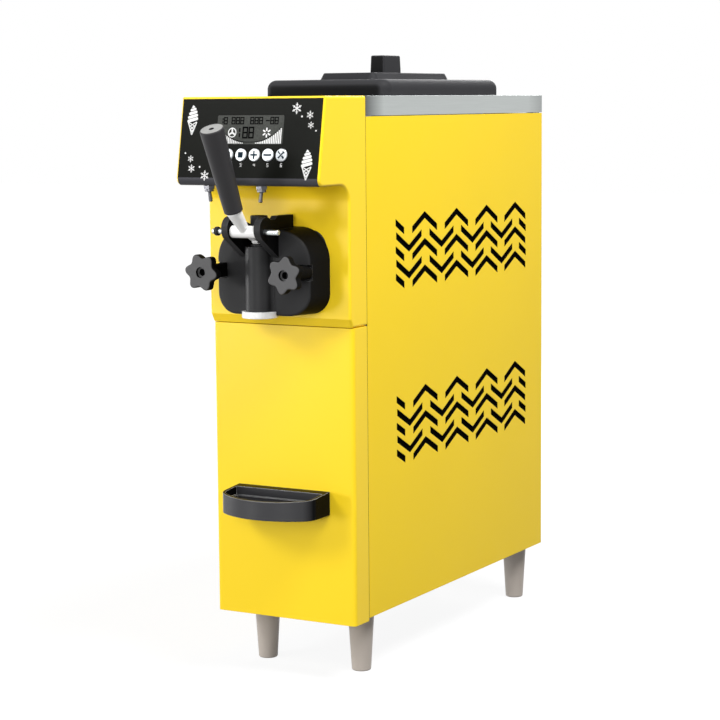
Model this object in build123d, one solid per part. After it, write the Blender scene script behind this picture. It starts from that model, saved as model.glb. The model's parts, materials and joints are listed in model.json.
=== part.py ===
from build123d import *
import os
from math import acos, asin, cos, pi, radians, sin, sqrt, tan

# Counter-top soft-serve ice cream maker, in millimetres.
# X runs to the right of someone who faces the machine, Y to its back and Z up from the table.
# While the pieces are drawn, Y is 0 at the seam between the front covers and the side panels.

# Clearances
SEAM = 0.8               # open line between neighbouring covers
FIT = 0.3                # fixed piece in its hole
RUN = 0.05               # shaft in its bearing
PLAY = 0.5               # moving piece beside a fixed one

# Cabinet
BODY_W = 190.0           # over both side panels
BODY_H = 608.0           # from the base to the top of the deck
LEG_H = 73.0
SHEET = 1.2              # sheet of the panels and the deck
BASE_T = 1.5             # sheet of the base tray, the shelf and the posts
FLANGE_H = 20.0          # turned-up edge of the base tray
BAND_H = 22.8            # turned-down edge of the deck, the steel band on the sides
POST_W = 18.0            # leg of a corner post
REAR_ROOM = 52.2         # air space between the condenser and the rear panel

# Legs
LEG_TOP_R = 16.0
LEG_FOOT_R = 11.5
LEG_STUD_R = 5.0
LEG_STUD_H = 13.0
LEG_EDGE_R = 2.0
LEG_SIDE = 29.5          # leg axis from the side of the cabinet
LEG_FRONT = 32.0         # front leg axis from the seam
LEG_BACK = 23.0          # rear leg axis from the back

# Front covers
COVER_T = 2.3
COVER_EDGE_R = 3.0
LOWER_D = 33.0           # face of the lower panel in front of the seam
LOWER_EDGE_R = 5.0
LOWER_DROP = 3.5         # how far the lower panel hangs below the base
FACE_D = 39.0            # face of the upper cover in front of the seam
STEP_DROP = 65.0         # foot of the upper cover below the freezing axis
STEP_H = 10.0            # slope between the two faces
HEAD_H = 100.0           # height of the control head
HEAD_D = 107.6           # sharp lower edge of the head in front of the seam
PANEL_TILT = 9.9         # lean of the control panel from the vertical, degrees
COVE_R = 20.0            # hollow corner under the head
ROLL_R = 8.0             # rolled lower edge of the control panel

# Control panel
FASCIA_T = 3.0
LIP_MARGIN = 4.0         # panel's lower lip behind the switch holes
LCD_W = 88.0
LCD_H = 32.9
LCD_S = 63.9             # centre of the display, up the panel from its sharp lower edge
LCD_T = 2.0
LCD_LAND = 1.5           # ledge that the window lies on
LCD_R = 2.0
BUTTON_COUNT = 6
BUTTON_PITCH = 17.8
BUTTON_S = 35.3
BUTTON_R = 7.2
BUTTON_PROUD = 2.0
BUTTON_DOME = 1.0
BUTTON_FLANGE_R = 8.4
BUTTON_FLANGE_T = 1.5
BUTTON_TRAVEL = 1.5
BOARD_T = 1.6
BOARD_GAP = 9.0          # from the back of the fascia to the circuit board
BOARD_MARGIN = 12.0      # board edge inside the fascia edge, sideways
BOARD_LOW = 22.0         # lower edge of the board, up the panel
BOARD_HIGH = 92.0
BOARD_POST_R = 3.0
BOARD_POST_IN = 6.0      # post from the edge of the board

# Toggle switches under the head
TOGGLE_BACK = 14.6       # behind the head's front edge
TOGGLE_X_LEFT = -58.3
TOGGLE_X_RIGHT = 12.2
TOGGLE_BUSH_R = 5.2
TOGGLE_BUSH_H = 7.0      # below the head
TOGGLE_BORE_R = 3.8
TOGGLE_NUT_R = 7.0
TOGGLE_NUT_H = 4.0
TOGGLE_BODY_W = 14.0
TOGGLE_BODY_L = 9.0
TOGGLE_BODY_H = 13.0
TOGGLE_DROP = 5.0        # pivot below the head
TOGGLE_BAT_L = 14.0
TOGGLE_TIP_R = 2.5
TOGGLE_NECK_R = 1.7
TOGGLE_LEAN = 13.0       # throw to each side of the vertical, degrees

# Vents in the side panels: rows of chevrons, in two groups
VENT_ROWS = 3            # rows that point up, with rows that point down between them
VENT_COLUMNS = 4
VENT_PITCH = 84.9        # along the panel
VENT_ROW_H = 32.1        # between rows that point the same way
VENT_ARM_L = 32.2
VENT_ARM_H = 16.6
VENT_STROKE = 8.4        # height of a slot, measured upright
VENT_TRIM = 11.0         # what the half chevrons at the ends lack beside their apex
VENT_START = 59.0        # first apex behind the seam
VENT_NEST = 38.0         # apex that points down, below the one above it
VENT_SHIFT = 2.0         # the same apex, behind the middle between its neighbours
VENT_DROPS = (138.3, 348.2)   # first apex of each group below the deck

# Rear panel
REAR_SLOT_COUNT = 12
REAR_SLOT_W = 120.0
REAR_SLOT_H = 5.0
REAR_SLOT_PITCH = 12.0
REAR_SLOT_LOW = 35.0     # lowest slot above the base
SCREW_R = 3.6
SCREW_HEAD_H = 1.8
SCREW_SHANK_R = 1.9
SCREW_SHANK_L = 8.0
SCREW_IN = 9.0           # screw axis from the edge of the panel
SCREW_ROWS = 3
SCREW_END = 30.0         # first screw from the end of the panel
GLAND_SIDE = 35.0        # gland axis from the side of the cabinet
GLAND_H = 205.0          # gland axis above the base
GLAND_R = 10.0
GLAND_HOLE_R = 4.2
GLAND_FLANGE_R = 13.0
GLAND_FLANGE_T = 5.0
GLAND_OUT = 18.0
GLAND_IN = 8.0

# Hopper and lid
HOPPER_W = 148.0
HOPPER_L = 284.0
HOPPER_H = 127.0
HOPPER_T = 1.0
HOPPER_R = 22.0
HOPPER_FLOOR_R = 10.0
HOPPER_RIM = 5.0
HOPPER_FRONT = 80.0      # behind the seam
LID_W = 169.0
LID_L = 309.0
LID_H = 19.5
LID_R = 15.0
LID_EDGE_R = 11.0
LID_T = 2.5
LID_CAP_W = 80.0         # at its foot
LID_CAP_L = 201.0
LID_CAP_H = 8.5
LID_CAP_R = 10.0
LID_CAP_DRAFT = 28.0     # degrees
LID_CAP_EDGE_R = 2.0
HANDLE_W = 21.0
HANDLE_L = 46.0
HANDLE_H = 22.0
HANDLE_R = 3.5
HANDLE_DRAFT = 3.0       # degrees
HANDLE_EDGE_R = 2.0
FEED_R = 7.0
FEED_BORE_R = 5.0
FEED_BACK = 125.0        # feed tube axis behind the seam
FEED_ABOVE = 70.0        # tube above the hopper floor
NECK_T = 2.3

# Freezing cylinder and its insulation
AXIS_DROP = 198.0        # freezing axis below the deck
CYL_R = 42.0             # bore
CYL_T = 2.0
CYL_BACK = 190.0         # rear end behind the seam
CYL_WALL = 3.0           # rear wall
PLATE_W = 128.0
PLATE_H = 92.0
PLATE_R = 20.0
PLATE_T = 5.0
FOAM_W = 168.0
SHELF_DROP = 83.0        # shelf below the freezing axis
SHELF_FRONT = 21.0
SHELF_BACK = 288.0
SHELF_FLANGE_H = 15.0

# Dispenser
DISP_W = 137.4
DISP_H = 100.0
DISP_TOP_R = 38.0        # upper corners
DISP_FOOT_R = 25.0       # lower corners
DISP_D = 42.0            # from the cover to the crown of the front face
DISP_CROWN = 11.0        # rise of the curved front face
DISP_SLOPE = 9.0         # how much nearer to the middle the front is, on each side
DISP_FALL = 2.0          # how much lower the top is at the front
DISP_EDGE_R = 3.0
BULGE_R = 16.4           # upright barrel round the plunger
BULGE_FLARE_R = 9.0      # hollow rounding where it runs out into the block
BULGE_SINK = 3.0         # how deep that rounding ends in the block
BULGE_FOOT = 5.0         # barrel foot above the foot of the block
SPIGOT_L = 12.0
SPIGOT_CUP_R = 34.0
SEAL_W = 4.0
SEAL_T = 3.0
PASSAGE_R = 7.0
PASSAGE_DROP = 25.0      # outlet passage below the freezing axis
PLUNGER_D = 80.0         # plunger axis in front of the seam
PLUNGER_R = 10.0
PLUNGER_PLAY = 0.2
PLUNGER_TOP = 14.2       # plunger above the block
PLUNGER_FOOT = 6.0       # plunger foot above the foot of the block
PLUNGER_EDGE_R = 1.5
RING_W = 3.0
RING_T = 1.9
RING_RISE = (4.0, 52.0)  # sealing rings above the plunger foot
NOZZLE_R = 21.0
NOZZLE_H = 7.5
NOZZLE_BORE_R = 6.0
NOZZLE_STAR_R = 9.0
NOZZLE_POINTS = 6
NOZZLE_EDGE_R = 1.2

# Lever
PIVOT_D = 109.0          # in front of the seam
PIVOT_RISE = 47.0        # above the freezing axis
PIN_R = 3.2
PIN_L = 88.0
COLLAR_R = 5.2
COLLAR_W = 5.0
COLLAR_IN = 4.0          # collar from the left end of the pin
EAR_R = 14.0
EAR_LIFT = 3.0           # middle of the ear's round above the pivot
EAR_SET = 3.0            # and behind it
EAR_IN = 17.4            # inner face of an ear from the middle
EAR_T = 8.2
EAR_FOOT_DROP = 33.0     # lowest joint of an ear with the block, below the pivot
EAR_FOOT_D = 76.0
EAR_REACH = 7.0          # lower corner of the ear ahead of the middle of its round
EAR_BACK_D = 58.0
RIB_FRONT_D = 86.0       # front end of the rib behind the right ear
RIB_BACK_D = 47.0        # and its rear end
RIB_RAMP = 4.5           # length of its front slope
RIB_RISE = 17.1          # its top above the pivot
WEB_RISE = 13.5          # top of the web between that ear and its rib
NOTCH_BACK_D = 60.0      # gap between the ears
NOTCH_DROP = 18.0        # floor of that gap below the pivot
HUB_R = 7.0
STEM_L = 34.2
STEM_LEAN = 44.5         # degrees forward of upright
STEM_R = 5.4
STEM_TOP_R = 8.8
TANG_R = 4.0
TANG_L = 60.0
GRIP_L = 101.0
GRIP_LEAN = 24.6         # degrees forward of upright
GRIP_R = 10.7
GRIP_TOP_R = 13.6
GRIP_EDGE_R = 1.6
GRIP_HOLE_R = 3.0
GRIP_HOLE_L = 12.0
LEVER_SWING = 48.0       # degrees
FINGER_L = 25.2
FINGER_W = 7.0
FINGER_H = 6.0
FINGER_TIP_R = 5.0

# Clamping knobs
KNOB_X = 55.0            # from the middle
KNOB_R = 19.0            # mean radius of the star
KNOB_WAVE = 2.6
KNOB_LOBES = 6
KNOB_LEAN_LEFT = 38.0    # degrees that each knob is turned from a lobe at its top
KNOB_LEAN_RIGHT = 9.0
KNOB_POINTS = 6          # outline points to a lobe
KNOB_HEAD_L = 11.0
KNOB_EDGE_R = 1.6
KNOB_SHANK_R = 8.0
KNOB_SHANK_L = 40.0
KNOB_SEAT_D = 68.0       # seat of the shank in front of the seam
KNOB_WELL_R = 6.2
KNOB_WELL_L = 4.0
STUD_R = 4.0
STUD_SHORT = 9.0         # stud end behind the floor of the knob's well

# Drip tray
TRAY_W = 124.0
TRAY_SIDE = 40.0         # straight side of the tray
TRAY_D = 64.0            # to the crown of its bowed front
TRAY_LOW = 125.0         # above the base
TRAY_H = 28.0            # at the back
TRAY_FALL = 6.0          # how much lower the front rim is
TRAY_T = 3.5
TRAY_BACK_T = 12.0
TRAY_LEDGE = 4.0         # step inside the rim
TRAY_LEDGE_DROP = 5.0
TRAY_R = 20.0
TRAY_EDGE_R = 1.2
HOOK_W = 80.0
HOOK_T = 2.0
HOOK_GAP = 3.2           # between the hanger's back and its lip
HOOK_H = 18.0            # back of the hanger
HOOK_LIP_H = 11.0
HOOK_LOW = 5.0           # foot of the hanger above the tray's foot

# Gear train
MODULE = 1.5
GEAR_TEETH = 54
PINION_TEETH = 18
PRESSURE = 20.0          # degrees
ADDENDUM = 0.9           # in modules
DEDENDUM = 1.25
BACKLASH = 0.3
GEAR_W = 12.0
PINION_W = 14.0
SHAFT_R = 8.0
BEARING_R = 13.0
BOX_GAP = 22.0           # gearbox behind the cylinder
BOX_T = 5.0
BOX_IN_L = 36.0
BOX_ROOM = 3.0           # round the gears
BOX_FOOT_W = 54.0
COVER_PLATE_T = 6.0
DRIVE_IN = 14.0          # output shaft end ahead of the cylinder's rear end

# Beater
BEATER_R = 6.0
BEATER_FRONT = 22.0      # front end, ahead of the seam
BEATER_HUB_R = 14.0
BEATER_HUB_L = 20.0
BEATER_ARM_R = 30.0
BEATER_ARM_T = 8.0
BEATER_ARMS = 3
BLADE_T = 5.0
BLADE_H = 11.0

# Belt drive
PULLEY_R = 60.0
MOTOR_PULLEY_R = 24.0
PULLEY_GAP = 33.0        # pulleys behind the gearbox
PULLEY_W = 16.0
PULLEY_FLANGE = 5.0
PULLEY_FLANGE_T = 1.5
BELT_T = 4.5
BELT_GAP = 0.3
SHAFT_OUT = 4.0          # shaft beyond its pulley

# Motor
MOTOR_R = 58.0
MOTOR_L = 97.0
MOTOR_GAP = 10.0         # motor ahead of its pulley
MOTOR_LIFT = 10.0        # motor above the base
MOTOR_FOOT_W = 90.0
MOTOR_FOOT_L = 70.0
MOTOR_EDGE_R = 8.0
MOTOR_SHAFT_IN = 20.0

# Refrigeration
COMP_R = 60.0
COMP_H = 160.0
COMP_Y = 95.0
COMP_DOME_R = 28.0
COMP_BORE_R = 44.0
COMP_BORE_H = 100.0
COMP_PLATE = 116.0
COMP_PLATE_T = 5.5
COMP_PORT_H = 107.0      # ports above the foot plate
COMP_PORT_R = 5.0
COMP_PORT_OUT = 4.0
PIPE_R = 4.0
PIPE_BEND_R = 8.0
PIPE_STUB = 2.0          # straight end of a pipe in front of its first bend
PIPE_HIGH = 24.0         # crossing above the condenser
PIPE_STEP = 55.0         # second riser behind the first
FAN_R = 70.0
FAN_HUB_R = 16.0
FAN_HUB_L = 20.0
FAN_BLADES = 5
FAN_BLADE_W = 26.0
FAN_BLADE_T = 2.0
FAN_PITCH = 32.0         # degrees
FAN_GAP = 10.0           # fan motor behind the belt pulley's shaft
FAN_MOTOR_R = 24.0
FAN_MOTOR_L = 26.0
FAN_ARM_W = 8.0
FAN_ARM_T = 5.0
FAN_ARMS = 3
FAN_SHAFT_R = 4.0
DUCT_GAP = 3.0
DUCT_T = 2.0
DUCT_L = 32.0
SHROUD_T = 3.0
SHROUD_EDGE = 8.0
SIDE_ROOM = 4.0          # condenser and shroud from the side panels
CONDENSER_L = 46.0

# Places that follow from the sizes above
FOOT_Z = 0.0
BASE_Z = FOOT_Z + LEG_H
FLOOR_Z = BASE_Z + BASE_T
DECK_Z = BASE_Z + BODY_H
HALF_W = BODY_W / 2
IN_X = HALF_W - SHEET
AXIS_Z = DECK_Z - AXIS_DROP
HEAD_Z = DECK_Z - HEAD_H
TOGGLE_D = HEAD_D - TOGGLE_BACK
LIP_D = TOGGLE_D - TOGGLE_BUSH_R - LIP_MARGIN
GLAND_X = HALF_W - GLAND_SIDE
STEP_Z = AXIS_Z - STEP_DROP
SHELF_Z = AXIS_Z - SHELF_DROP
HOPPER_Z = DECK_Z - HOPPER_H
HOPPER_Y = HOPPER_FRONT + HOPPER_L / 2
PIVOT_Y = -PIVOT_D
PIVOT_Z = AXIS_Z + PIVOT_RISE
EAR_Y = PIVOT_Y + EAR_SET
EAR_Z = PIVOT_Z + EAR_LIFT
PLUNGER_Y = -PLUNGER_D
DISP_TOP_Z = AXIS_Z + DISP_H / 2
DISP_FOOT_Z = AXIS_Z - DISP_H / 2
FINGER_DIP = LEVER_SWING / 2
FINGER_Y = PIVOT_Y + FINGER_L * cos(radians(FINGER_DIP))
FINGER_Z = PIVOT_Z - FINGER_L * sin(radians(FINGER_DIP))
PLUNGER_TRAVEL = 2 * FINGER_L * sin(radians(FINGER_DIP))
KNOB_FRONT_Y = -KNOB_SEAT_D - KNOB_SHANK_L - KNOB_HEAD_L
TRAY_Z = BASE_Z + TRAY_LOW
PINION_Z = AXIS_Z - MODULE * (GEAR_TEETH + PINION_TEETH) / 2
BOX_Y = CYL_BACK + BOX_GAP
BOX_BACK_Y = BOX_Y + BOX_T + BOX_IN_L
GEAR_Y = BOX_Y + BOX_T + BOX_IN_L / 2
PULLEY_Y = BOX_BACK_Y + COVER_PLATE_T + PULLEY_GAP
MOTOR_Z = FLOOR_Z + MOTOR_LIFT + MOTOR_R
MOTOR_BACK_Y = PULLEY_Y - MOTOR_GAP
PIPE_X = COMP_R + COMP_PORT_OUT + PIPE_STUB + PIPE_BEND_R
DUCT_R = FAN_R + DUCT_GAP
FAN_Z = FLOOR_Z + DUCT_R + DUCT_T + SHROUD_EDGE
FAN_MOTOR_Y = PULLEY_Y + PULLEY_W + SHAFT_OUT + FAN_GAP
DUCT_Y = FAN_MOTOR_Y + FAN_MOTOR_L
SHROUD_Y = DUCT_Y + DUCT_L
CONDENSER_Y = SHROUD_Y + SHROUD_T
CONDENSER_TOP_Z = FAN_Z + DUCT_R + DUCT_T + SHROUD_EDGE
BODY_D = CONDENSER_Y + CONDENSER_L + REAR_ROOM + SHEET
REAR_Y = BODY_D - SHEET
LEG_PLACES = [
    (side * (HALF_W - LEG_SIDE), y)
    for y in (LEG_FRONT, BODY_D - LEG_BACK)
    for side in (-1, 1)
]
BUTTON_PLACES = [
    (BUTTON_PITCH * (BUTTON_COUNT - 1) / 2 - BUTTON_PITCH * i, BUTTON_S) for i in range(BUTTON_COUNT)
]

# The control panel's own plane: x to the right, y up the panel, z out of it
PANEL = Plane(
    origin=(0, -HEAD_D, HEAD_Z),
    x_dir=(1, 0, 0),
    z_dir=(0, -cos(radians(PANEL_TILT)), sin(radians(PANEL_TILT))),
)
PANEL_IN_HALF = HALF_W - COVER_T
FAR = 1000.0             # reaches past everything
LEVEL = 90.0             # from upright to level, degrees


# Shapes that many pieces are made of

def block(x0, x1, y0, y1, z0, z1):
    """Box between two corners."""
    middle = Pos((x0 + x1) / 2, (y0 + y1) / 2, (z0 + z1) / 2)
    return middle * Box(x1 - x0, y1 - y0, z1 - z0)


def rod_x(y, z, r, x0, x1):
    """Round bar along X."""
    return Pos((x0 + x1) / 2, y, z) * Rot(0, 90, 0) * Cylinder(r, x1 - x0)


def rod_y(x, z, r, y0, y1):
    """Round bar along Y."""
    return Pos(x, (y0 + y1) / 2, z) * Rot(90, 0, 0) * Cylinder(r, y1 - y0)


def rod_z(x, y, r, z0, z1):
    """Round bar along Z."""
    return Pos(x, y, (z0 + z1) / 2) * Cylinder(r, z1 - z0)


def prism_x(face, x0, x1):
    """Side view drawn in (Y, Z), given a width along X."""
    return extrude(Plane.YZ.offset(x0) * face, amount=x1 - x0, dir=(1, 0, 0))


def prism_y(face, y0, y1):
    """Front view drawn in (X, Z), given a depth along Y."""
    front = Plane(origin=(0, y0, 0), x_dir=(1, 0, 0), z_dir=(0, -1, 0))
    return extrude(front * face, amount=y1 - y0, dir=(0, 1, 0))


def prism_z(face, z0, z1):
    """Plan drawn in (X, Y), given a height along Z."""
    return extrude(Pos(0, 0, z0) * face, amount=z1 - z0, dir=(0, 0, 1))


def tube_y(z, r_out, r_in, y0, y1):
    """Hollow bar along Y, on the middle plane."""
    return rod_y(0, z, r_out, y0, y1) - rod_y(0, z, r_in, y0, y1)


def mirrored(shape):
    """The mirror image across the middle plane."""
    return mirror(shape, about=Plane.YZ)


# Cabinet

def base_tray():
    plate = block(-IN_X, IN_X, 0, REAR_Y, BASE_Z, FLOOR_Z + FLANGE_H)
    hollow = block(-IN_X + BASE_T, IN_X - BASE_T, BASE_T, REAR_Y - BASE_T, FLOOR_Z, FAR)
    holes = [rod_z(x, y, LEG_STUD_R + FIT, FOOT_Z, FAR) for x, y in LEG_PLACES]
    return plate - hollow - holes


def leg(x, y):
    body = Pos(x, y, FOOT_Z + LEG_H / 2) * Cone(LEG_FOOT_R, LEG_TOP_R, LEG_H)
    body = fillet(body.edges().group_by(Axis.Z)[0], LEG_EDGE_R)
    return body + rod_z(x, y, LEG_STUD_R, BASE_Z, BASE_Z + LEG_STUD_H)


def corner_post(side, back):
    """Angle that stands in one corner between the base and the deck."""
    x1 = IN_X - BASE_T
    y1 = REAR_Y - BASE_T if back else BASE_T
    inward = -1 if back else 1
    along_x = sorted((y1, y1 + inward * BASE_T))
    along_y = sorted((y1, y1 + inward * POST_W))
    across = block(x1 - POST_W, x1, *along_x, FLOOR_Z, DECK_Z - SHEET)
    post = across + block(x1 - BASE_T, x1, *along_y, FLOOR_Z, DECK_Z - SHEET)
    if back:
        post -= [rod_y(x, z, SCREW_SHANK_R + FIT, 0, FAR) for x, z in screw_places()]
    return post if side > 0 else mirrored(post)


def chevron(y, z, rise, start, end):
    """Vent slot whose arms rise or fall from an apex at (y, z), between two distances along the panel."""
    places = [start, 0, end] if start < 0 < end else [start, end]
    top = [(y + place, z + rise * abs(place) / VENT_ARM_L) for place in places]
    under = [(a, b - VENT_STROKE) for a, b in reversed(top)]
    return make_face(Polyline(*top, *under, close=True))


def vent_row(z, rise, start):
    """Whole chevrons at an even pitch from the first apex."""
    apexes = [start + VENT_PITCH * i for i in range(VENT_COLUMNS)]
    return [chevron(y, z, rise, -VENT_ARM_L, VENT_ARM_L) for y in apexes]


def vent_slots():
    """All slots of one side panel, as faces drawn in (Y, Z)."""
    slots = []
    nested = VENT_START + VENT_PITCH / 2 + VENT_SHIFT
    last = nested + VENT_PITCH * VENT_COLUMNS
    for drop in VENT_DROPS:
        for row in range(VENT_ROWS):
            z = DECK_Z - drop - row * VENT_ROW_H
            slots += vent_row(z, -VENT_ARM_H, VENT_START + VENT_PITCH)
            slots.append(chevron(VENT_START, z, -VENT_ARM_H, VENT_TRIM, VENT_ARM_L))
        for row in range(VENT_ROWS - 1):
            z = DECK_Z - drop - VENT_NEST - row * VENT_ROW_H
            slots += vent_row(z, VENT_ARM_H, nested)
            slots.append(chevron(last, z, VENT_ARM_H, -VENT_ARM_L, -VENT_TRIM))
    return slots


def side_panel():
    """Right side panel."""
    sheet = block(IN_X, HALF_W, 0, BODY_D, BASE_Z, DECK_Z - BAND_H - SEAM)
    return sheet - [prism_x(slot, IN_X - SHEET, HALF_W + SHEET) for slot in vent_slots()]


def screw_places():
    """Screw axes of the rear panel as (X, Z)."""
    low = BASE_Z + SCREW_END
    high = DECK_Z - BAND_H - SCREW_END
    rise = (high - low) / (SCREW_ROWS - 1)
    x = IN_X - BASE_T - SCREW_IN
    return [(side * x, low + rise * i) for side in (-1, 1) for i in range(SCREW_ROWS)]


def rear_panel():
    sheet = block(-IN_X + FIT, IN_X - FIT, REAR_Y, BODY_D, BASE_Z, DECK_Z - BAND_H - SEAM)
    slots = [
        Pos(0, 0, BASE_Z + REAR_SLOT_LOW + REAR_SLOT_PITCH * i)
        * prism_y(SlotOverall(REAR_SLOT_W, REAR_SLOT_H), REAR_Y - SHEET, BODY_D + SHEET)
        for i in range(REAR_SLOT_COUNT)
    ]
    holes = [rod_y(x, z, SCREW_SHANK_R + FIT, 0, FAR) for x, z in screw_places()]
    gland_hole = rod_y(GLAND_X, BASE_Z + GLAND_H, GLAND_R + FIT, REAR_Y - SHEET, FAR)
    return sheet - slots - holes - gland_hole


def rear_screw(x, z):
    head = rod_y(x, z, SCREW_R, BODY_D, BODY_D + SCREW_HEAD_H)
    head = fillet(head.edges().group_by(Axis.Y)[-1], SCREW_HEAD_H / 2)
    return head + rod_y(x, z, SCREW_SHANK_R, BODY_D - SHEET - SCREW_SHANK_L, BODY_D)


def cord_gland():
    z = BASE_Z + GLAND_H
    body = rod_y(GLAND_X, z, GLAND_R, REAR_Y - GLAND_IN, BODY_D + GLAND_OUT)
    nose = body.edges().filter_by(GeomType.CIRCLE).sort_by(Axis.Y)[-1]
    body = fillet(nose, GLAND_R / 4)
    flange = rod_y(GLAND_X, z, GLAND_FLANGE_R, BODY_D, BODY_D + GLAND_FLANGE_T)
    nut = rod_y(GLAND_X, z, GLAND_FLANGE_R, REAR_Y - GLAND_FLANGE_T, REAR_Y)
    return body + flange + nut - rod_y(GLAND_X, z, GLAND_HOLE_R, 0, FAR)


def top_deck():
    pan = block(-HALF_W, HALF_W, 0, BODY_D, DECK_Z - BAND_H, DECK_Z)
    pan = fillet(pan.edges().filter_by(Axis.Y).group_by(Axis.Z)[-1], SHEET / 2)
    pan -= block(-IN_X, IN_X, SHEET, REAR_Y, 0, DECK_Z - SHEET)
    opening = RectangleRounded(HOPPER_W + 2 * FIT, HOPPER_L + 2 * FIT, HOPPER_R)
    return pan - prism_z(Pos(0, HOPPER_Y) * opening, 0, FAR)


def mid_shelf():
    """Shelf under the insulation and the gearbox, with turned-down sides."""
    shelf = block(-IN_X, IN_X, SHELF_FRONT, SHELF_BACK, SHELF_Z - SHELF_FLANGE_H, SHELF_Z)
    shelf -= block(-IN_X + BASE_T, IN_X - BASE_T, 0, FAR, 0, SHELF_Z - BASE_T)
    risers = [rod_z(-PIPE_X, y, PIPE_R + FIT, 0, FAR) for y in (COMP_Y, COMP_Y + PIPE_STEP)]
    return shelf - risers


# Front covers and control panel

def head_outline(inset):
    """Side view of the upper cover and the control head, drawn in (Y, Z), made smaller by a wall."""
    top_y = -HEAD_D + HEAD_H * tan(radians(PANEL_TILT))
    points = [
        (-SEAM, STEP_Z),
        (-LOWER_D, STEP_Z),
        (-FACE_D, STEP_Z + STEP_H),
        (-FACE_D, HEAD_Z),
        (-HEAD_D, HEAD_Z),
        (top_y, DECK_Z),
        (-SEAM, DECK_Z),
    ]
    outline = make_face(FilletPolyline(*points, radius=[0, 0, 0, COVE_R, ROLL_R, 0, 0], close=True))
    if inset:
        outline = offset(outline, amount=-inset, kind=Kind.INTERSECTION)
    return outline


def fascia_zone(half):
    """The front of the head, where the control panel takes the place of the cover."""
    top_y = -HEAD_D + HEAD_H * tan(radians(PANEL_TILT))
    zone = make_face(Polyline(
        (-FAR, HEAD_Z - COVER_T),
        (-LIP_D, HEAD_Z - COVER_T),
        (-LIP_D, HEAD_Z + FASCIA_T),
        (top_y + 2 * FASCIA_T, DECK_Z - COVER_T),
        (-FAR, DECK_Z - COVER_T),
        close=True,
    ))
    return prism_x(zone, -half, half)


def front_head_cover():
    cover = prism_x(head_outline(0), -HALF_W, HALF_W)
    rim = [
        edge for edge in cover.edges()
        if abs(abs(edge.center().X) - HALF_W) < SEAM and edge.center().Y < -2 * SEAM
    ]
    cover = fillet(rim, COVER_EDGE_R)
    cover -= prism_x(head_outline(COVER_T), -PANEL_IN_HALF, PANEL_IN_HALF)
    cover -= block(
        -PANEL_IN_HALF, PANEL_IN_HALF, -SEAM - 2 * COVER_T, 0, STEP_Z + COVER_T, DECK_Z - COVER_T
    )
    cover -= fascia_zone(PANEL_IN_HALF)
    window = RectangleRounded(PLATE_W + 2 * FIT, PLATE_H + 2 * FIT, PLATE_R)
    return cover - Pos(0, 0, AXIS_Z) * prism_y(window, -FACE_D - COVER_T, -FACE_D + 2 * COVER_T)


def front_lower_panel():
    panel = block(-HALF_W, HALF_W, -LOWER_D, -SEAM, BASE_Z - LOWER_DROP, STEP_Z - SEAM)
    panel = fillet(panel.edges().filter_by(Axis.Z).group_by(Axis.Y)[0], LOWER_EDGE_R)
    low = BASE_Z - LOWER_DROP + COVER_T
    hollow = block(
        -HALF_W + COVER_T, HALF_W - COVER_T, -LOWER_D + COVER_T, 0, low, STEP_Z - SEAM - COVER_T
    )
    hollow = fillet(hollow.edges().filter_by(Axis.Z).group_by(Axis.Y)[0], LOWER_EDGE_R - COVER_T)
    return panel - hollow


def control_fascia():
    half = PANEL_IN_HALF - FIT
    shell = prism_x(head_outline(0), -half, half) - prism_x(head_outline(FASCIA_T), -HALF_W, HALF_W)
    fascia = shell & fascia_zone(half)
    window = RectangleRounded(LCD_W + FIT, LCD_H + FIT, LCD_R)
    sight = RectangleRounded(LCD_W - 2 * LCD_LAND, LCD_H - 2 * LCD_LAND, LCD_R)
    fascia -= PANEL * Pos(0, LCD_S, -LCD_T) * extrude(window, amount=FAR)
    fascia -= PANEL * Pos(0, LCD_S, -2 * FASCIA_T) * extrude(sight, amount=FAR)
    for x, s in BUTTON_PLACES:
        fascia -= PANEL * Pos(x, s, 0) * Cylinder(BUTTON_R + FIT, 4 * FASCIA_T)
    for x, s in board_posts():
        fascia += PANEL * Pos(x, s, -FASCIA_T - BOARD_GAP / 2) * Cylinder(BOARD_POST_R, BOARD_GAP)
    for x in (TOGGLE_X_LEFT, TOGGLE_X_RIGHT):
        fascia -= rod_z(x, -TOGGLE_D, TOGGLE_BUSH_R + FIT, HEAD_Z - FASCIA_T, HEAD_Z + 2 * FASCIA_T)
    return fascia


def board_posts():
    """Posts between the fascia and the circuit board, as (x, s) on the panel."""
    x = PANEL_IN_HALF - BOARD_MARGIN - BOARD_POST_IN
    heights = (BOARD_LOW + BOARD_POST_IN, BOARD_HIGH - BOARD_POST_IN)
    return [(side * x, s) for side in (-1, 1) for s in heights]


def display_window():
    glass = RectangleRounded(LCD_W, LCD_H, LCD_R)
    return PANEL * Pos(0, LCD_S, -LCD_T) * extrude(glass, amount=LCD_T)


def control_board():
    """Circuit board with the display behind the window and a push switch behind each button."""
    width = 2 * (PANEL_IN_HALF - BOARD_MARGIN)
    front = -FASCIA_T - BOARD_GAP
    middle = (BOARD_LOW + BOARD_HIGH) / 2
    board = PANEL * Pos(0, middle, front - BOARD_T / 2) * Box(width, BOARD_HIGH - BOARD_LOW, BOARD_T)
    glass_h = BOARD_GAP - LCD_LAND
    glass = Box(LCD_W - 2 * LCD_LAND, LCD_H - 2 * LCD_LAND, glass_h)
    board += PANEL * Pos(0, LCD_S, front + glass_h / 2) * glass
    switch_h = BOARD_GAP - BUTTON_FLANGE_T - BUTTON_TRAVEL - 2 * FIT
    for x, s in BUTTON_PLACES:
        board += PANEL * Pos(x, s, front + switch_h / 2) * Box(BUTTON_R, BUTTON_R, switch_h)
    return board


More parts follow.
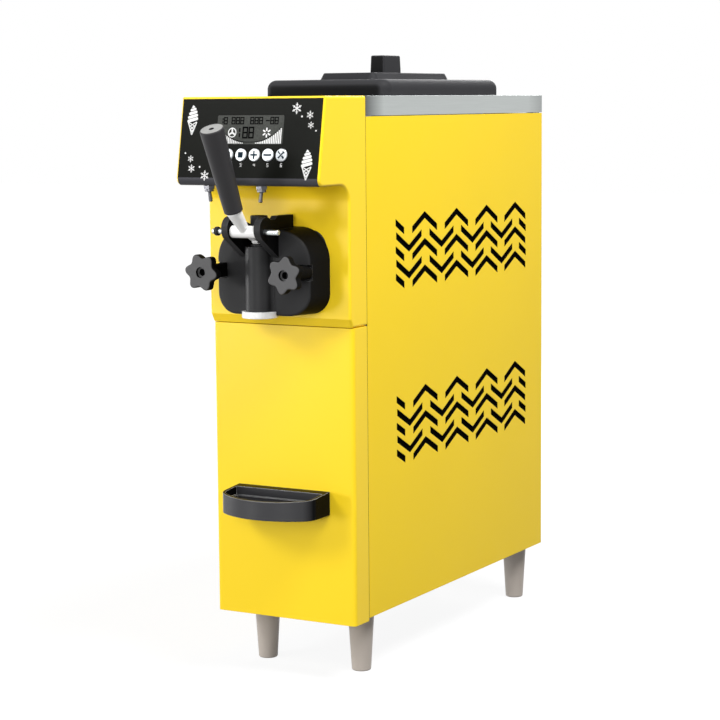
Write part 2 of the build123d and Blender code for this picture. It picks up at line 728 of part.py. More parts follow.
def push_button(x, s):
    """Domed cap that stands proud of the panel, with a flange behind it."""
    back = -FASCIA_T - FIT
    cap = Pos(0, 0, (BUTTON_PROUD + back) / 2) * Cylinder(BUTTON_R, BUTTON_PROUD - back)
    cap = fillet(cap.edges().group_by(Axis.Z)[-1], BUTTON_DOME)
    flange = Pos(0, 0, back - BUTTON_FLANGE_T / 2) * Cylinder(BUTTON_FLANGE_R, BUTTON_FLANGE_T)
    return PANEL * Pos(x, s, 0) * (cap + flange)


def toggle_switch(x):
    """Body inside the head, threaded bush through the panel's lip, and hexagon nut below."""
    roof = HEAD_Z + FASCIA_T
    half_w = TOGGLE_BODY_W / 2
    half_l = TOGGLE_BODY_L / 2
    body = block(
        x - half_w, x + half_w, -TOGGLE_D - half_l, -TOGGLE_D + half_l, roof, roof + TOGGLE_BODY_H
    )
    bush = rod_z(x, -TOGGLE_D, TOGGLE_BUSH_R, HEAD_Z - TOGGLE_BUSH_H, roof)
    hexagon = Pos(x, -TOGGLE_D) * RegularPolygon(TOGGLE_NUT_R, 6)
    nut = prism_z(hexagon, HEAD_Z - TOGGLE_NUT_H, HEAD_Z)
    bore = rod_z(x, -TOGGLE_D, TOGGLE_BORE_R, 0, HEAD_Z)
    return body + bush + nut - bore


def toggle_lever(x, lean):
    """Bat of a toggle switch, hanging from its pivot. A positive lean is towards the back."""
    pivot = Pos(x, -TOGGLE_D, HEAD_Z - TOGGLE_DROP) * Rot(lean, 0, 0)
    ball = Sphere(TOGGLE_BORE_R - FIT)
    bat = Pos(0, 0, -TOGGLE_BAT_L / 2) * Cone(TOGGLE_TIP_R, TOGGLE_NECK_R, TOGGLE_BAT_L)
    bat = fillet(bat.edges().group_by(Axis.Z)[0], TOGGLE_TIP_R / 2)
    return pivot * (ball + bat)


# Hopper and lid

def hopper_tank():
    plan = Pos(0, HOPPER_Y) * RectangleRounded(HOPPER_W, HOPPER_L, HOPPER_R)
    inner = Pos(0, HOPPER_Y) * RectangleRounded(
        HOPPER_W - 2 * HOPPER_T, HOPPER_L - 2 * HOPPER_T, HOPPER_R - HOPPER_T
    )
    rim = Pos(0, HOPPER_Y) * RectangleRounded(
        HOPPER_W + 2 * HOPPER_RIM, HOPPER_L + 2 * HOPPER_RIM, HOPPER_R
    )
    tub = prism_z(plan, HOPPER_Z, DECK_Z + HOPPER_T)
    tub = fillet(tub.edges().group_by(Axis.Z)[0], HOPPER_FLOOR_R)
    hollow = prism_z(inner, HOPPER_Z + HOPPER_T, DECK_Z + 2 * HOPPER_T)
    hollow = fillet(hollow.edges().group_by(Axis.Z)[0], HOPPER_FLOOR_R - HOPPER_T)
    tub += prism_z(rim, DECK_Z, DECK_Z + HOPPER_T)
    return tub - hollow - rod_z(0, FEED_BACK, FEED_R + FIT, 0, HOPPER_Z + HOPPER_FLOOR_R)


def feed_tube():
    low = AXIS_Z + CYL_R + CYL_T
    tube = rod_z(0, FEED_BACK, FEED_R, low, HOPPER_Z + FEED_ABOVE)
    tube -= rod_z(0, FEED_BACK, FEED_BORE_R, 0, FAR)
    return tube - rod_x(FEED_BACK, HOPPER_Z + 2 * FEED_R, FEED_BORE_R / 2, 0, FAR)


def lid_cover():
    plan = Pos(0, HOPPER_Y) * RectangleRounded(LID_W, LID_L, LID_R)
    cover = prism_z(plan, DECK_Z, DECK_Z + LID_H)
    cover = fillet(cover.edges().group_by(Axis.Z)[-1], LID_EDGE_R)
    cap_plan = Pos(0, HOPPER_Y, DECK_Z + LID_H) * RectangleRounded(LID_CAP_W, LID_CAP_L, LID_CAP_R)
    cap = extrude(cap_plan, amount=LID_CAP_H, taper=LID_CAP_DRAFT)
    cap = fillet(cap.edges().group_by(Axis.Z)[-1], LID_CAP_EDGE_R)
    inner = Pos(0, HOPPER_Y) * RectangleRounded(LID_W - 2 * LID_T, LID_L - 2 * LID_T, LID_R - LID_T)
    hollow = prism_z(inner, DECK_Z - LID_T, DECK_Z + LID_H - LID_T)
    hollow = fillet(hollow.edges().group_by(Axis.Z)[-1], LID_EDGE_R - LID_T)
    cap_inner = Pos(0, HOPPER_Y, DECK_Z + LID_H - LID_T) * RectangleRounded(
        LID_CAP_W - 2 * LID_T, LID_CAP_L - 2 * LID_T, LID_CAP_R - LID_T
    )
    hollow += extrude(cap_inner, amount=LID_CAP_H, taper=LID_CAP_DRAFT)
    return cover + cap - hollow


def lid_handle():
    low = DECK_Z + LID_H + LID_CAP_H
    plan = Pos(0, HOPPER_Y, low) * RectangleRounded(HANDLE_W, HANDLE_L, HANDLE_R)
    bar = extrude(plan, amount=HANDLE_H, taper=HANDLE_DRAFT)
    return fillet(bar.edges().group_by(Axis.Z)[-1], HANDLE_EDGE_R)


# Freezing cylinder

def clamp_stud(side):
    end = KNOB_FRONT_Y + KNOB_WELL_L + STUD_SHORT
    return rod_y(side * KNOB_X, AXIS_Z, STUD_R, end, -FACE_D + PLATE_T)


def freezing_cylinder():
    """Barrel with its front plate and welded studs, its closed rear end and the neck for the feed tube."""
    barrel = rod_y(0, AXIS_Z, CYL_R + CYL_T, -FACE_D, CYL_BACK)
    plate = RectangleRounded(PLATE_W, PLATE_H, PLATE_R)
    barrel += Pos(0, 0, AXIS_Z) * prism_y(plate, -FACE_D, -FACE_D + PLATE_T)
    barrel += rod_z(0, FEED_BACK, FEED_R + FIT + NECK_T, AXIS_Z + CYL_R, HOPPER_Z)
    barrel -= rod_y(0, AXIS_Z, CYL_R, -FAR, CYL_BACK - CYL_WALL)
    barrel -= rod_z(0, FEED_BACK, FEED_R + FIT, AXIS_Z, FAR)
    for side in (-1, 1):
        barrel += clamp_stud(side)
    return barrel - rod_y(0, AXIS_Z, SHAFT_R + FIT, 0, FAR)


def insulation_block():
    foam = block(-FOAM_W / 2, FOAM_W / 2, SHELF_FRONT, CYL_BACK, SHELF_Z, HOPPER_Z)
    foam -= rod_y(0, AXIS_Z, CYL_R + CYL_T + FIT, -FAR, FAR)
    return foam - rod_z(0, FEED_BACK, FEED_R + 2 * FIT + NECK_T, AXIS_Z, FAR)


# Dispenser and lever

def ear(right):
    """Cheek that carries one end of the pivot pin. Behind the right one stands a taller rib."""
    foot = (-EAR_FOOT_D, PIVOT_Z - EAR_FOOT_DROP)
    front = (EAR_Y - EAR_REACH, EAR_Z - sqrt(EAR_R ** 2 - EAR_REACH ** 2))
    points = [front, (EAR_Y, EAR_Z)]
    if right:
        points += [
            (EAR_Y, PIVOT_Z + WEB_RISE),
            (-RIB_FRONT_D, PIVOT_Z + WEB_RISE),
            (-RIB_FRONT_D + RIB_RAMP, PIVOT_Z + RIB_RISE),
            (-RIB_BACK_D, PIVOT_Z + RIB_RISE),
            (-RIB_BACK_D, foot[1]),
        ]
    else:
        points += [(EAR_Y, EAR_Z + EAR_R), (-EAR_BACK_D, DISP_TOP_Z), (-EAR_BACK_D, foot[1])]
    cheek = prism_x(make_face(Polyline(*points, foot, close=True)), EAR_IN, EAR_IN + EAR_T)
    cheek += rod_x(EAR_Y, EAR_Z, EAR_R, EAR_IN, EAR_IN + EAR_T)
    return cheek if right else mirrored(cheek)


def block_outline(half, top, top_r, foot_r):
    """Front view of the dispenser's block, about the freezing axis."""
    foot = -DISP_H / 2
    corners = [(-half, foot), (half, foot), (half, top), (-half, top)]
    return make_face(FilletPolyline(*corners, radius=[foot_r, foot_r, top_r, top_r], close=True))


def dispenser_block():
    """Block with round corners that grows narrower to its bowed front."""
    half = DISP_W / 2
    top = DISP_H / 2
    rear = Plane(origin=(0, -FACE_D, AXIS_Z), x_dir=(1, 0, 0), z_dir=(0, -1, 0))
    front = rear.offset(DISP_D)
    body = loft([
        rear * block_outline(half, top, DISP_TOP_R, DISP_FOOT_R),
        front * block_outline(half - DISP_SLOPE, top - DISP_FALL, DISP_TOP_R - DISP_FALL, DISP_FOOT_R),
    ], ruled=True)
    bow_r = (half ** 2 + DISP_CROWN ** 2) / (2 * DISP_CROWN)
    body &= rod_z(0, -FACE_D - DISP_D + bow_r, bow_r, DISP_FOOT_Z - DISP_H, DISP_TOP_Z + DISP_H)
    rim = [edge for edge in body.edges() if edge.bounding_box().max.Y < -FACE_D - SHEET]
    return fillet(rim, DISP_EDGE_R)


def barrel_plan():
    """Plan of the barrel round the plunger, which runs out into the block on both sides."""
    root_y = -FACE_D - DISP_D + BULGE_SINK
    root_w = 2 * (BULGE_R + BULGE_FLARE_R + BULGE_SINK)
    root = Pos(0, root_y) * Rectangle(root_w, BULGE_R, align=(Align.CENTER, Align.MIN))
    plan = Pos(0, PLUNGER_Y) * Circle(BULGE_R) + root
    corners = [v for v in plan.vertices() if abs(v.Y - root_y) < FIT and abs(v.X) < root_w / 2 - FIT]
    return fillet(corners, BULGE_FLARE_R)


def dispenser_body():
    body = dispenser_block()
    body += prism_z(barrel_plan(), DISP_FOOT_Z + BULGE_FOOT, PIVOT_Z - NOTCH_DROP)
    body += ear(True)
    body += ear(False)
    body += rod_y(0, AXIS_Z, CYL_R - PLAY, -FACE_D, -FACE_D + SPIGOT_L)
    body -= block(-EAR_IN, EAR_IN, -FAR, -NOTCH_BACK_D, PIVOT_Z - NOTCH_DROP, FAR)
    body -= rod_y(0, AXIS_Z, SPIGOT_CUP_R, -FACE_D - SPIGOT_L / 2, 0)
    seal_y = -FACE_D + SPIGOT_L / 2
    groove = tube_y(AXIS_Z, CYL_R, CYL_R - PLAY - SEAL_T, seal_y - SEAL_W / 2, seal_y + SEAL_W / 2)
    body -= groove
    body -= rod_y(0, AXIS_Z - PASSAGE_DROP, PASSAGE_R, PLUNGER_Y, -FACE_D)
    body -= rod_z(0, PLUNGER_Y, PLUNGER_R + PLUNGER_PLAY, 0, PIVOT_Z)
    body -= rod_z(0, PLUNGER_Y, NOZZLE_R + FIT, 0, DISP_FOOT_Z + BULGE_FOOT)
    body -= rod_x(PIVOT_Y, PIVOT_Z, PIN_R + RUN, -FAR, FAR)
    well_r = KNOB_SHANK_R + 2 * PLAY
    for side in (-1, 1):
        body -= rod_y(side * KNOB_X, AXIS_Z, STUD_R + FIT, -FAR, 0)
        near, far = sorted((side * (KNOB_X - well_r), side * DISP_W))
        body -= block(near, far, -FAR, -KNOB_SEAT_D, AXIS_Z - well_r, AXIS_Z + well_r)
    return body


def dispenser_seal():
    seal_y = -FACE_D + SPIGOT_L / 2
    half = SEAL_W / 2 - RUN
    return tube_y(AXIS_Z, CYL_R - RUN, CYL_R - PLAY - SEAL_T + RUN, seal_y - half, seal_y + half)


def star_knob(side, lean):
    """Lobed clamping knob with its shank, screwed on its stud."""
    steps = KNOB_LOBES * KNOB_POINTS
    points = []
    for i in range(steps):
        turn = 2 * pi * i / steps
        r = KNOB_R + KNOB_WAVE * cos(KNOB_LOBES * (turn - radians(lean)))
        points.append((r * sin(turn), r * cos(turn)))
    star = make_face(Spline(*points, periodic=True))
    head = prism_y(star, KNOB_FRONT_Y, KNOB_FRONT_Y + KNOB_HEAD_L)
    rims = head.edges().group_by(Axis.Y)
    head = fillet(list(rims[0]) + list(rims[-1]), KNOB_EDGE_R)
    head += rod_y(0, 0, KNOB_SHANK_R, KNOB_FRONT_Y + KNOB_HEAD_L, -KNOB_SEAT_D - FIT)
    head -= rod_y(0, 0, STUD_R + RUN, -FAR, 0)
    head -= rod_y(0, 0, KNOB_WELL_R, KNOB_FRONT_Y - KNOB_WELL_L, KNOB_FRONT_Y + KNOB_WELL_L)
    return Pos(side * KNOB_X, 0, AXIS_Z) * head


def plunger():
    foot = DISP_FOOT_Z + PLUNGER_FOOT
    body = rod_z(0, PLUNGER_Y, PLUNGER_R, foot, DISP_TOP_Z + PLUNGER_TOP)
    body = fillet(body.edges().group_by(Axis.Z)[-1], PLUNGER_EDGE_R)
    room = FINGER_TIP_R + PLAY
    back = PIVOT_Y + FINGER_L + room
    body -= block(-PLUNGER_R, PLUNGER_R, -FAR, back, FINGER_Z - room, FINGER_Z + room)
    for rise in RING_RISE:
        groove = rod_z(0, PLUNGER_Y, PLUNGER_R + PLAY, foot + rise, foot + rise + RING_W)
        body -= groove - rod_z(0, PLUNGER_Y, PLUNGER_R - RING_T, 0, FAR)
    return body


def plunger_ring(rise):
    low = DISP_FOOT_Z + PLUNGER_FOOT + rise + RUN
    r_out = PLUNGER_R + PLUNGER_PLAY - RUN
    ring = rod_z(0, PLUNGER_Y, r_out, low, low + RING_W - 2 * RUN)
    return ring - rod_z(0, PLUNGER_Y, PLUNGER_R - RING_T + RUN, 0, FAR)


def outlet_nozzle():
    """Disc under the barrel with a star-shaped mouth."""
    top = DISP_FOOT_Z + BULGE_FOOT
    disc = rod_z(0, PLUNGER_Y, NOZZLE_R, top - NOZZLE_H, top)
    disc = fillet(disc.edges().group_by(Axis.Z)[0], NOZZLE_EDGE_R)
    points = []
    for i in range(2 * NOZZLE_POINTS):
        r = NOZZLE_BORE_R if i % 2 else NOZZLE_STAR_R
        turn = pi * i / NOZZLE_POINTS
        points.append((r * sin(turn), PLUNGER_Y + r * cos(turn)))
    star = make_face(Polyline(*points, close=True))
    return disc - prism_z(star, top - 2 * NOZZLE_H, top + NOZZLE_H)


def pivot_pin():
    pin = rod_x(PIVOT_Y, PIVOT_Z, PIN_R, -PIN_L / 2, PIN_L / 2)
    return chamfer(pin.edges().filter_by(GeomType.CIRCLE), PIN_R / 4)


def pin_collar():
    x0 = -PIN_L / 2 + COLLAR_IN
    collar = rod_x(PIVOT_Y, PIVOT_Z, COLLAR_R, x0, x0 + COLLAR_W)
    collar = fillet(collar.edges().filter_by(GeomType.CIRCLE), COLLAR_W / 4)
    return collar - rod_x(PIVOT_Y, PIVOT_Z, PIN_R + RUN, -FAR, FAR)


def leaning(origin_y, origin_z, lean):
    """Plane on the lever whose z axis leans forward of upright."""
    turn = radians(lean)
    return Plane(origin=(0, origin_y, origin_z), x_dir=(1, 0, 0), z_dir=(0, -sin(turn), cos(turn)))


def grip_plane():
    turn = radians(STEM_LEAN)
    return leaning(PIVOT_Y - STEM_L * sin(turn), PIVOT_Z + STEM_L * cos(turn), GRIP_LEAN)


def lever_arm():
    """Hub on the pin, bent stem with a tang for the grip, and the finger that lifts the plunger."""
    hub = rod_x(PIVOT_Y, PIVOT_Z, HUB_R, -EAR_IN + PLAY, EAR_IN - PLAY)
    stem = leaning(PIVOT_Y, PIVOT_Z, STEM_LEAN)
    arm = hub + stem * Pos(0, 0, STEM_L / 2) * Cone(STEM_R, STEM_TOP_R, STEM_L)
    grip = grip_plane()
    arm += grip * Sphere(STEM_TOP_R)
    arm -= grip * Pos(0, 0, STEM_L / 2) * Box(STEM_L, STEM_L, STEM_L)
    arm += grip * Pos(0, 0, TANG_L / 2) * Cylinder(TANG_R, TANG_L)
    finger = leaning(PIVOT_Y, PIVOT_Z, -LEVEL - FINGER_DIP)
    arm += finger * Pos(0, 0, FINGER_L / 2) * Box(FINGER_W, FINGER_H, FINGER_L)
    arm += rod_x(FINGER_Y, FINGER_Z, FINGER_TIP_R, -FINGER_W / 2, FINGER_W / 2)
    return arm - rod_x(PIVOT_Y, PIVOT_Z, PIN_R + RUN, -FAR, FAR)


def lever_grip():
    """Tapered round handle with a small hole in its end."""
    handle = Pos(0, 0, GRIP_L / 2) * Cone(GRIP_R, GRIP_TOP_R, GRIP_L)
    handle = fillet(handle.edges().group_by(Axis.Z)[-1], GRIP_EDGE_R)
    handle = fillet(handle.edges().group_by(Axis.Z)[0], GRIP_EDGE_R / 2)
    handle -= Pos(0, 0, GRIP_L) * Cylinder(GRIP_HOLE_R, 2 * GRIP_HOLE_L)
    handle -= Pos(0, 0, (TANG_L + FIT) / 2) * Cylinder(TANG_R + RUN, TANG_L + FIT)
    return grip_plane() * handle


# Drip tray

def tray_plan(inset, back):
    """D-shaped plan with a bowed front, made smaller by a wall, from the given back line."""
    half = TRAY_W / 2 - inset
    front = -LOWER_D - TRAY_D + inset
    side = -LOWER_D - TRAY_SIDE
    face = make_face([
        Polyline((half, side), (half, back), (-half, back), (-half, side)),
        ThreePointArc((-half, side), (0, front), (half, side)),
    ])
    corners = [v for v in face.vertices() if v.Y < (side + back) / 2]
    return fillet(corners, TRAY_R - inset / 2)


def rim_cut():
    """Everything above the sloping rim of the tray."""
    top = TRAY_Z + TRAY_H
    slope = make_face(Polyline(
        (-LOWER_D, top), (-LOWER_D - TRAY_D, top - TRAY_FALL), (-FAR, top - TRAY_FALL),
        (-FAR, FAR), (-LOWER_D, FAR), close=True,
    ))
    return prism_x(slope, -TRAY_W, TRAY_W)


def hanger_profile(room):
    """Side view of the hanger on the lower panel, drawn in (Y, Z), made larger by a clearance."""
    low = TRAY_Z + HOOK_LOW
    back = -LOWER_D
    lip = back - 2 * HOOK_T - HOOK_GAP
    return make_face(Polyline(
        (back, low - room),
        (lip - room, low - room),
        (lip - room, low + HOOK_LIP_H + room),
        (lip + HOOK_T + room, low + HOOK_LIP_H + room),
        (lip + HOOK_T + room, low + HOOK_T),
        (back - HOOK_T - room, low + HOOK_T),
        (back - HOOK_T - room, low + HOOK_H + room),
        (back, low + HOOK_H + room),
        close=True,
    ))


def tray_hanger():
    return prism_x(hanger_profile(0), -HOOK_W / 2, HOOK_W / 2)


def drip_tray():
    """Trough that hooks over the hanger and lifts straight off."""
    back = -LOWER_D - FIT
    tray = prism_z(tray_plan(0, back), TRAY_Z, TRAY_Z + TRAY_H) - rim_cut()
    tray = fillet(tray.edges().group_by(Axis.Z)[0], TRAY_EDGE_R)
    inner_back = -LOWER_D - TRAY_BACK_T
    tray -= prism_z(tray_plan(TRAY_T + TRAY_LEDGE, inner_back - TRAY_LEDGE), TRAY_Z + TRAY_T, FAR)
    ledge = TRAY_Z + TRAY_H - TRAY_FALL - TRAY_LEDGE_DROP
    tray -= prism_z(tray_plan(TRAY_T, inner_back), ledge, FAR)
    half = HOOK_W / 2 + FIT
    tray -= prism_x(hanger_profile(FIT), -half, half)
    lip = -LOWER_D - 2 * HOOK_T - HOOK_GAP - FIT
    return tray - block(-half, half, lip, 0, 0, TRAY_Z + HOOK_LOW + FIT)


# Gears, beater and belt drive

def gear_face(teeth, turn):
    """Spur gear drawn in its own plane, with one tooth pointing along turn, in degrees."""
    pitch_r = MODULE * teeth / 2
    base_r = pitch_r * cos(radians(PRESSURE))
    root_r = pitch_r - DEDENDUM * MODULE
    tip_r = pitch_r + ADDENDUM * MODULE
    involute = tan(radians(PRESSURE)) - radians(PRESSURE)
    half_tooth = pi / (2 * teeth) - BACKLASH / (4 * pitch_r)

    def flank(r, tooth, side):
        roll = acos(base_r / r) if r > base_r else 0
        angle = half_tooth + involute - (tan(roll) - roll)
        angle = radians(turn) + 2 * pi * tooth / teeth + side * angle
        return (r * cos(angle), r * sin(angle))

    start_r = max(base_r, root_r)
    middle_r = (start_r + tip_r) / 2
    edges = []
    for tooth in range(teeth):
        for side in (-1, 1):
            arc = [flank(r, tooth, side) for r in (start_r, middle_r, tip_r)]
            edges.append(ThreePointArc(*arc))
            if root_r < start_r:
                edges.append(Line(flank(root_r, tooth, side), flank(start_r, tooth, side)))
        edges.append(Line(flank(tip_r, tooth, -1), flank(tip_r, tooth, 1)))
        edges.append(Line(flank(min(root_r, start_r), tooth, 1), flank(min(root_r, start_r), tooth + 1, -1)))
    return make_face(edges)


def drive_gear():
    """Large gear on the shaft that turns the beater."""
    wheel = prism_y(gear_face(GEAR_TEETH, -90), GEAR_Y - GEAR_W / 2, GEAR_Y + GEAR_W / 2)
    shaft = rod_y(0, 0, SHAFT_R, CYL_BACK - DRIVE_IN, BOX_BACK_Y + COVER_PLATE_T)
    return Pos(0, 0, AXIS_Z) * (wheel + shaft)


def pinion_shaft():
    """Small gear on the shaft that the belt turns, with a gap between teeth facing the large gear."""
    wheel = prism_y(
        gear_face(PINION_TEETH, 90 + 180 / PINION_TEETH), GEAR_Y - PINION_W / 2, GEAR_Y + PINION_W / 2
    )
    shaft = rod_y(0, 0, SHAFT_R, BOX_Y, PULLEY_Y + PULLEY_W + SHAFT_OUT)
    return Pos(0, 0, PINION_Z) * (wheel + shaft)


def gearbox_outline(wall):
    """Front view of the gearbox room, drawn in (X, Z), made larger by a wall."""
    gear_r = MODULE * (GEAR_TEETH / 2 + ADDENDUM) + BOX_ROOM + wall
    low = PINION_Z - MODULE * (PINION_TEETH / 2 + ADDENDUM) - BOX_ROOM - wall
    high = AXIS_Z + gear_r
    return Pos(0, (low + high) / 2) * RectangleRounded(2 * gear_r, high - low, gear_r / 2)


def bearing_holes(y0, y1):
    return [rod_y(0, z, BEARING_R + RUN, y0, y1) for z in (AXIS_Z, PINION_Z)]


def gearbox_housing():
    case = prism_y(gearbox_outline(BOX_T), BOX_Y, BOX_BACK_Y)
    case -= prism_y(gearbox_outline(0), BOX_Y + BOX_T, FAR)
    low = PINION_Z - MODULE * (PINION_TEETH / 2 + ADDENDUM) - BOX_ROOM - BOX_T / 2
    case += block(-BOX_FOOT_W / 2, BOX_FOOT_W / 2, BOX_Y, BOX_BACK_Y, SHELF_Z, low)
    return case - bearing_holes(0, FAR)


def gearbox_cover():
    plate = prism_y(gearbox_outline(BOX_T), BOX_BACK_Y, BOX_BACK_Y + COVER_PLATE_T)
    return plate - bearing_holes(0, FAR)


def gearbox_bearings():
    rings = []
    for z in (AXIS_Z, PINION_Z):
        rings.append(tube_y(z, BEARING_R, SHAFT_R + RUN, BOX_Y, BOX_Y + BOX_T))
        rings.append(tube_y(z, BEARING_R, SHAFT_R + RUN, BOX_BACK_Y, BOX_BACK_Y + COVER_PLATE_T))
    return rings


def beater():
    """Shaft with a driven hub at the back and arms that hold two scraper blades."""
    hub_back = CYL_BACK - CYL_WALL - 2 * PLAY
    hub_front = hub_back - BEATER_HUB_L
    frame = rod_y(0, AXIS_Z, BEATER_R, -BEATER_FRONT, hub_front)
    frame += rod_y(0, AXIS_Z, BEATER_HUB_R, hub_front, hub_back)
    frame -= rod_y(0, AXIS_Z, SHAFT_R + RUN, CYL_BACK - DRIVE_IN - RUN, FAR)
    span = (hub_front - BEATER_ARM_T + BEATER_FRONT) / (BEATER_ARMS - 1)
    for i in range(BEATER_ARMS):
        y = -BEATER_FRONT + span * i
        frame += block(
            -BEATER_ARM_R, BEATER_ARM_R, y, y + BEATER_ARM_T, AXIS_Z - BEATER_R / 2, AXIS_Z + BEATER_R / 2
        )
    return frame


def scraper_blade(side):
    hub_front = CYL_BACK - CYL_WALL - 2 * PLAY - BEATER_HUB_L
    blade = block(
        BEATER_ARM_R, BEATER_ARM_R + BLADE_H, -BEATER_FRONT, hub_front,
        AXIS_Z - BLADE_T / 2, AXIS_Z + BLADE_T / 2,
    )
    return blade if side > 0 else mirrored(blade)


def pulley(r, z):
    """Flanged pulley for a flat belt."""
    rim = rod_y(0, z, r, PULLEY_Y, PULLEY_Y + PULLEY_W)
    for y in (PULLEY_Y, PULLEY_Y + PULLEY_W - PULLEY_FLANGE_T):
        rim += rod_y(0, z, r + PULLEY_FLANGE, y, y + PULLEY_FLANGE_T)
    return rim


def driven_pulley():
    wheel = pulley(PULLEY_R, PINION_Z)
    recess = tube_y(PINION_Z, PULLEY_R - PULLEY_FLANGE, 2 * SHAFT_R, PULLEY_Y, PULLEY_Y + PULLEY_W / 3)
    return wheel - recess - rod_y(0, PINION_Z, SHAFT_R + RUN, 0, FAR)


def motor_pulley():
    """Small pulley on the motor's shaft."""
    wheel = pulley(MOTOR_PULLEY_R, MOTOR_Z)
    end = PULLEY_Y + PULLEY_W + SHAFT_OUT
    return wheel + rod_y(0, MOTOR_Z, SHAFT_R, MOTOR_BACK_Y - MOTOR_SHAFT_IN, end)


def belt_loop(gap):
    """Closed line round both pulleys, drawn in (X, Z), this far outside their rims."""
    r_high = PULLEY_R + gap
    r_low = MOTOR_PULLEY_R + gap
    slope = -asin((PULLEY_R - MOTOR_PULLEY_R) / (PINION_Z - MOTOR_Z))
    high = (r_high * cos(slope), PINION_Z + r_high * sin(slope))
    low = (r_low * cos(slope), MOTOR_Z + r_low * sin(slope))
    return make_face([
        ThreePointArc(high, (0, PINION_Z + r_high), (-high[0], high[1])),
        Line((-high[0], high[1]), (-low[0], low[1])),
        ThreePointArc((-low[0], low[1]), (0, MOTOR_Z - r_low), low),
        Line(low, high),
    ])


def drive_belt():
    inset = PULLEY_FLANGE_T + PLAY
    band = belt_loop(BELT_GAP + BELT_T) - belt_loop(BELT_GAP)
    return prism_y(band, PULLEY_Y + inset, PULLEY_Y + PULLEY_W - inset)


def drive_motor():
    front = MOTOR_BACK_Y - MOTOR_L
    body = rod_y(0, MOTOR_Z, MOTOR_R, front, MOTOR_BACK_Y)
    body = fillet(body.edges().filter_by(GeomType.CIRCLE), MOTOR_EDGE_R)
    middle = front + MOTOR_L / 2
    body += block(
        -MOTOR_FOOT_W / 2, MOTOR_FOOT_W / 2, middle - MOTOR_FOOT_L / 2, middle + MOTOR_FOOT_L / 2,
        FLOOR_Z, MOTOR_Z - MOTOR_R / 2,
    )
    return body - rod_y(0, MOTOR_Z, SHAFT_R + RUN, MOTOR_BACK_Y - MOTOR_SHAFT_IN - FIT, FAR)


# Refrigeration

def compressor():
    low = FLOOR_Z + COMP_PLATE_T
    shell = rod_z(0, COMP_Y, COMP_R, low, low + COMP_H)
    shell = fillet(shell.edges().group_by(Axis.Z)[-1], COMP_DOME_R)
    half = COMP_PLATE / 2
    shell += block(-half, half, COMP_Y - half, COMP_Y + half, FLOOR_Z, low)
    reach = COMP_R + COMP_PORT_OUT
    shell += rod_x(COMP_Y, low + COMP_PORT_H, COMP_PORT_R, -reach, reach)
    room = (COMP_H - COMP_BORE_H) / 2
    return shell - rod_z(0, COMP_Y, COMP_BORE_R, low + room, low + room + COMP_BORE_H)


def pipe(*points):
    """Copper pipe through the given corners."""
    path = FilletPolyline(*points, radius=PIPE_BEND_R)
    start = Plane(origin=path @ 0, z_dir=path % 0)
    return sweep(start * Circle(PIPE_R), path=path)


def refrigerant_lines():
    port_x = COMP_R + COMP_PORT_OUT
    port_z = FLOOR_Z + COMP_PLATE_T + COMP_PORT_H
    back_y = CONDENSER_Y + CONDENSER_L / 2
    high_z = CONDENSER_TOP_Z + PIPE_HIGH
    riser_y = COMP_Y + PIPE_STEP
    discharge = pipe(
        (port_x, COMP_Y, port_z), (PIPE_X, COMP_Y, port_z), (PIPE_X, COMP_Y, high_z),
        (PIPE_X, back_y, high_z), (PIPE_X, back_y, CONDENSER_TOP_Z),
    )
    suction = pipe((-port_x, COMP_Y, port_z), (-PIPE_X, COMP_Y, port_z), (-PIPE_X, COMP_Y, SHELF_Z))
    liquid = pipe(
        (-PIPE_X, back_y, CONDENSER_TOP_Z), (-PIPE_X, back_y, high_z),
        (-PIPE_X, riser_y, high_z), (-PIPE_X, riser_y, SHELF_Z),
    )
    return [discharge, suction, liquid]


def condenser():
    half = IN_X - SIDE_ROOM
    return block(-half, half, CONDENSER_Y, CONDENSER_Y + CONDENSER_L, FLOOR_Z, CONDENSER_TOP_Z)


def fan_shroud():
    half = IN_X - SIDE_ROOM
    plate = block(-half, half, SHROUD_Y, SHROUD_Y + SHROUD_T, FLOOR_Z, CONDENSER_TOP_Z)
    duct = rod_y(0, FAN_Z, DUCT_R + DUCT_T, DUCT_Y, SHROUD_Y)
    return plate + duct - rod_y(0, FAN_Z, DUCT_R, 0, FAR)


def fan_motor():
    """Motor on three arms that reach to the duct."""
    body = rod_y(0, FAN_Z, FAN_MOTOR_R, FAN_MOTOR_Y, DUCT_Y)
    for i in range(FAN_ARMS):
        arm = block(-FAN_ARM_W / 2, FAN_ARM_W / 2, DUCT_Y - FAN_ARM_T, DUCT_Y, 0, DUCT_R + DUCT_T)
        body += Pos(0, 0, FAN_Z) * Rot(0, 360 / FAN_ARMS * i, 0) * arm
    return body + rod_y(0, FAN_Z, FAN_SHAFT_R, DUCT_Y, DUCT_Y + FAN_HUB_L)


def fan_rotor():
    low = DUCT_Y + FAN_ARM_T
    hub = rod_y(0, 0, FAN_HUB_R, low, low + FAN_HUB_L)
    span = FAN_R - FAN_HUB_R / 2
    for i in range(FAN_BLADES):
        blade = Pos(FAN_R - span / 2, 0, 0) * Rot(FAN_PITCH, 0, 0) * Box(span, FAN_BLADE_T, FAN_BLADE_W)
        hub += Pos(0, low + FAN_HUB_L / 2, 0) * Rot(0, 360 / FAN_BLADES * i, 0) * blade
    hub -= rod_y(0, 0, FAN_SHAFT_R + RUN, 0, DUCT_Y + FAN_HUB_L + FIT)
    return Pos(0, 0, FAN_Z) * hub


# Every piece, by the name of its node

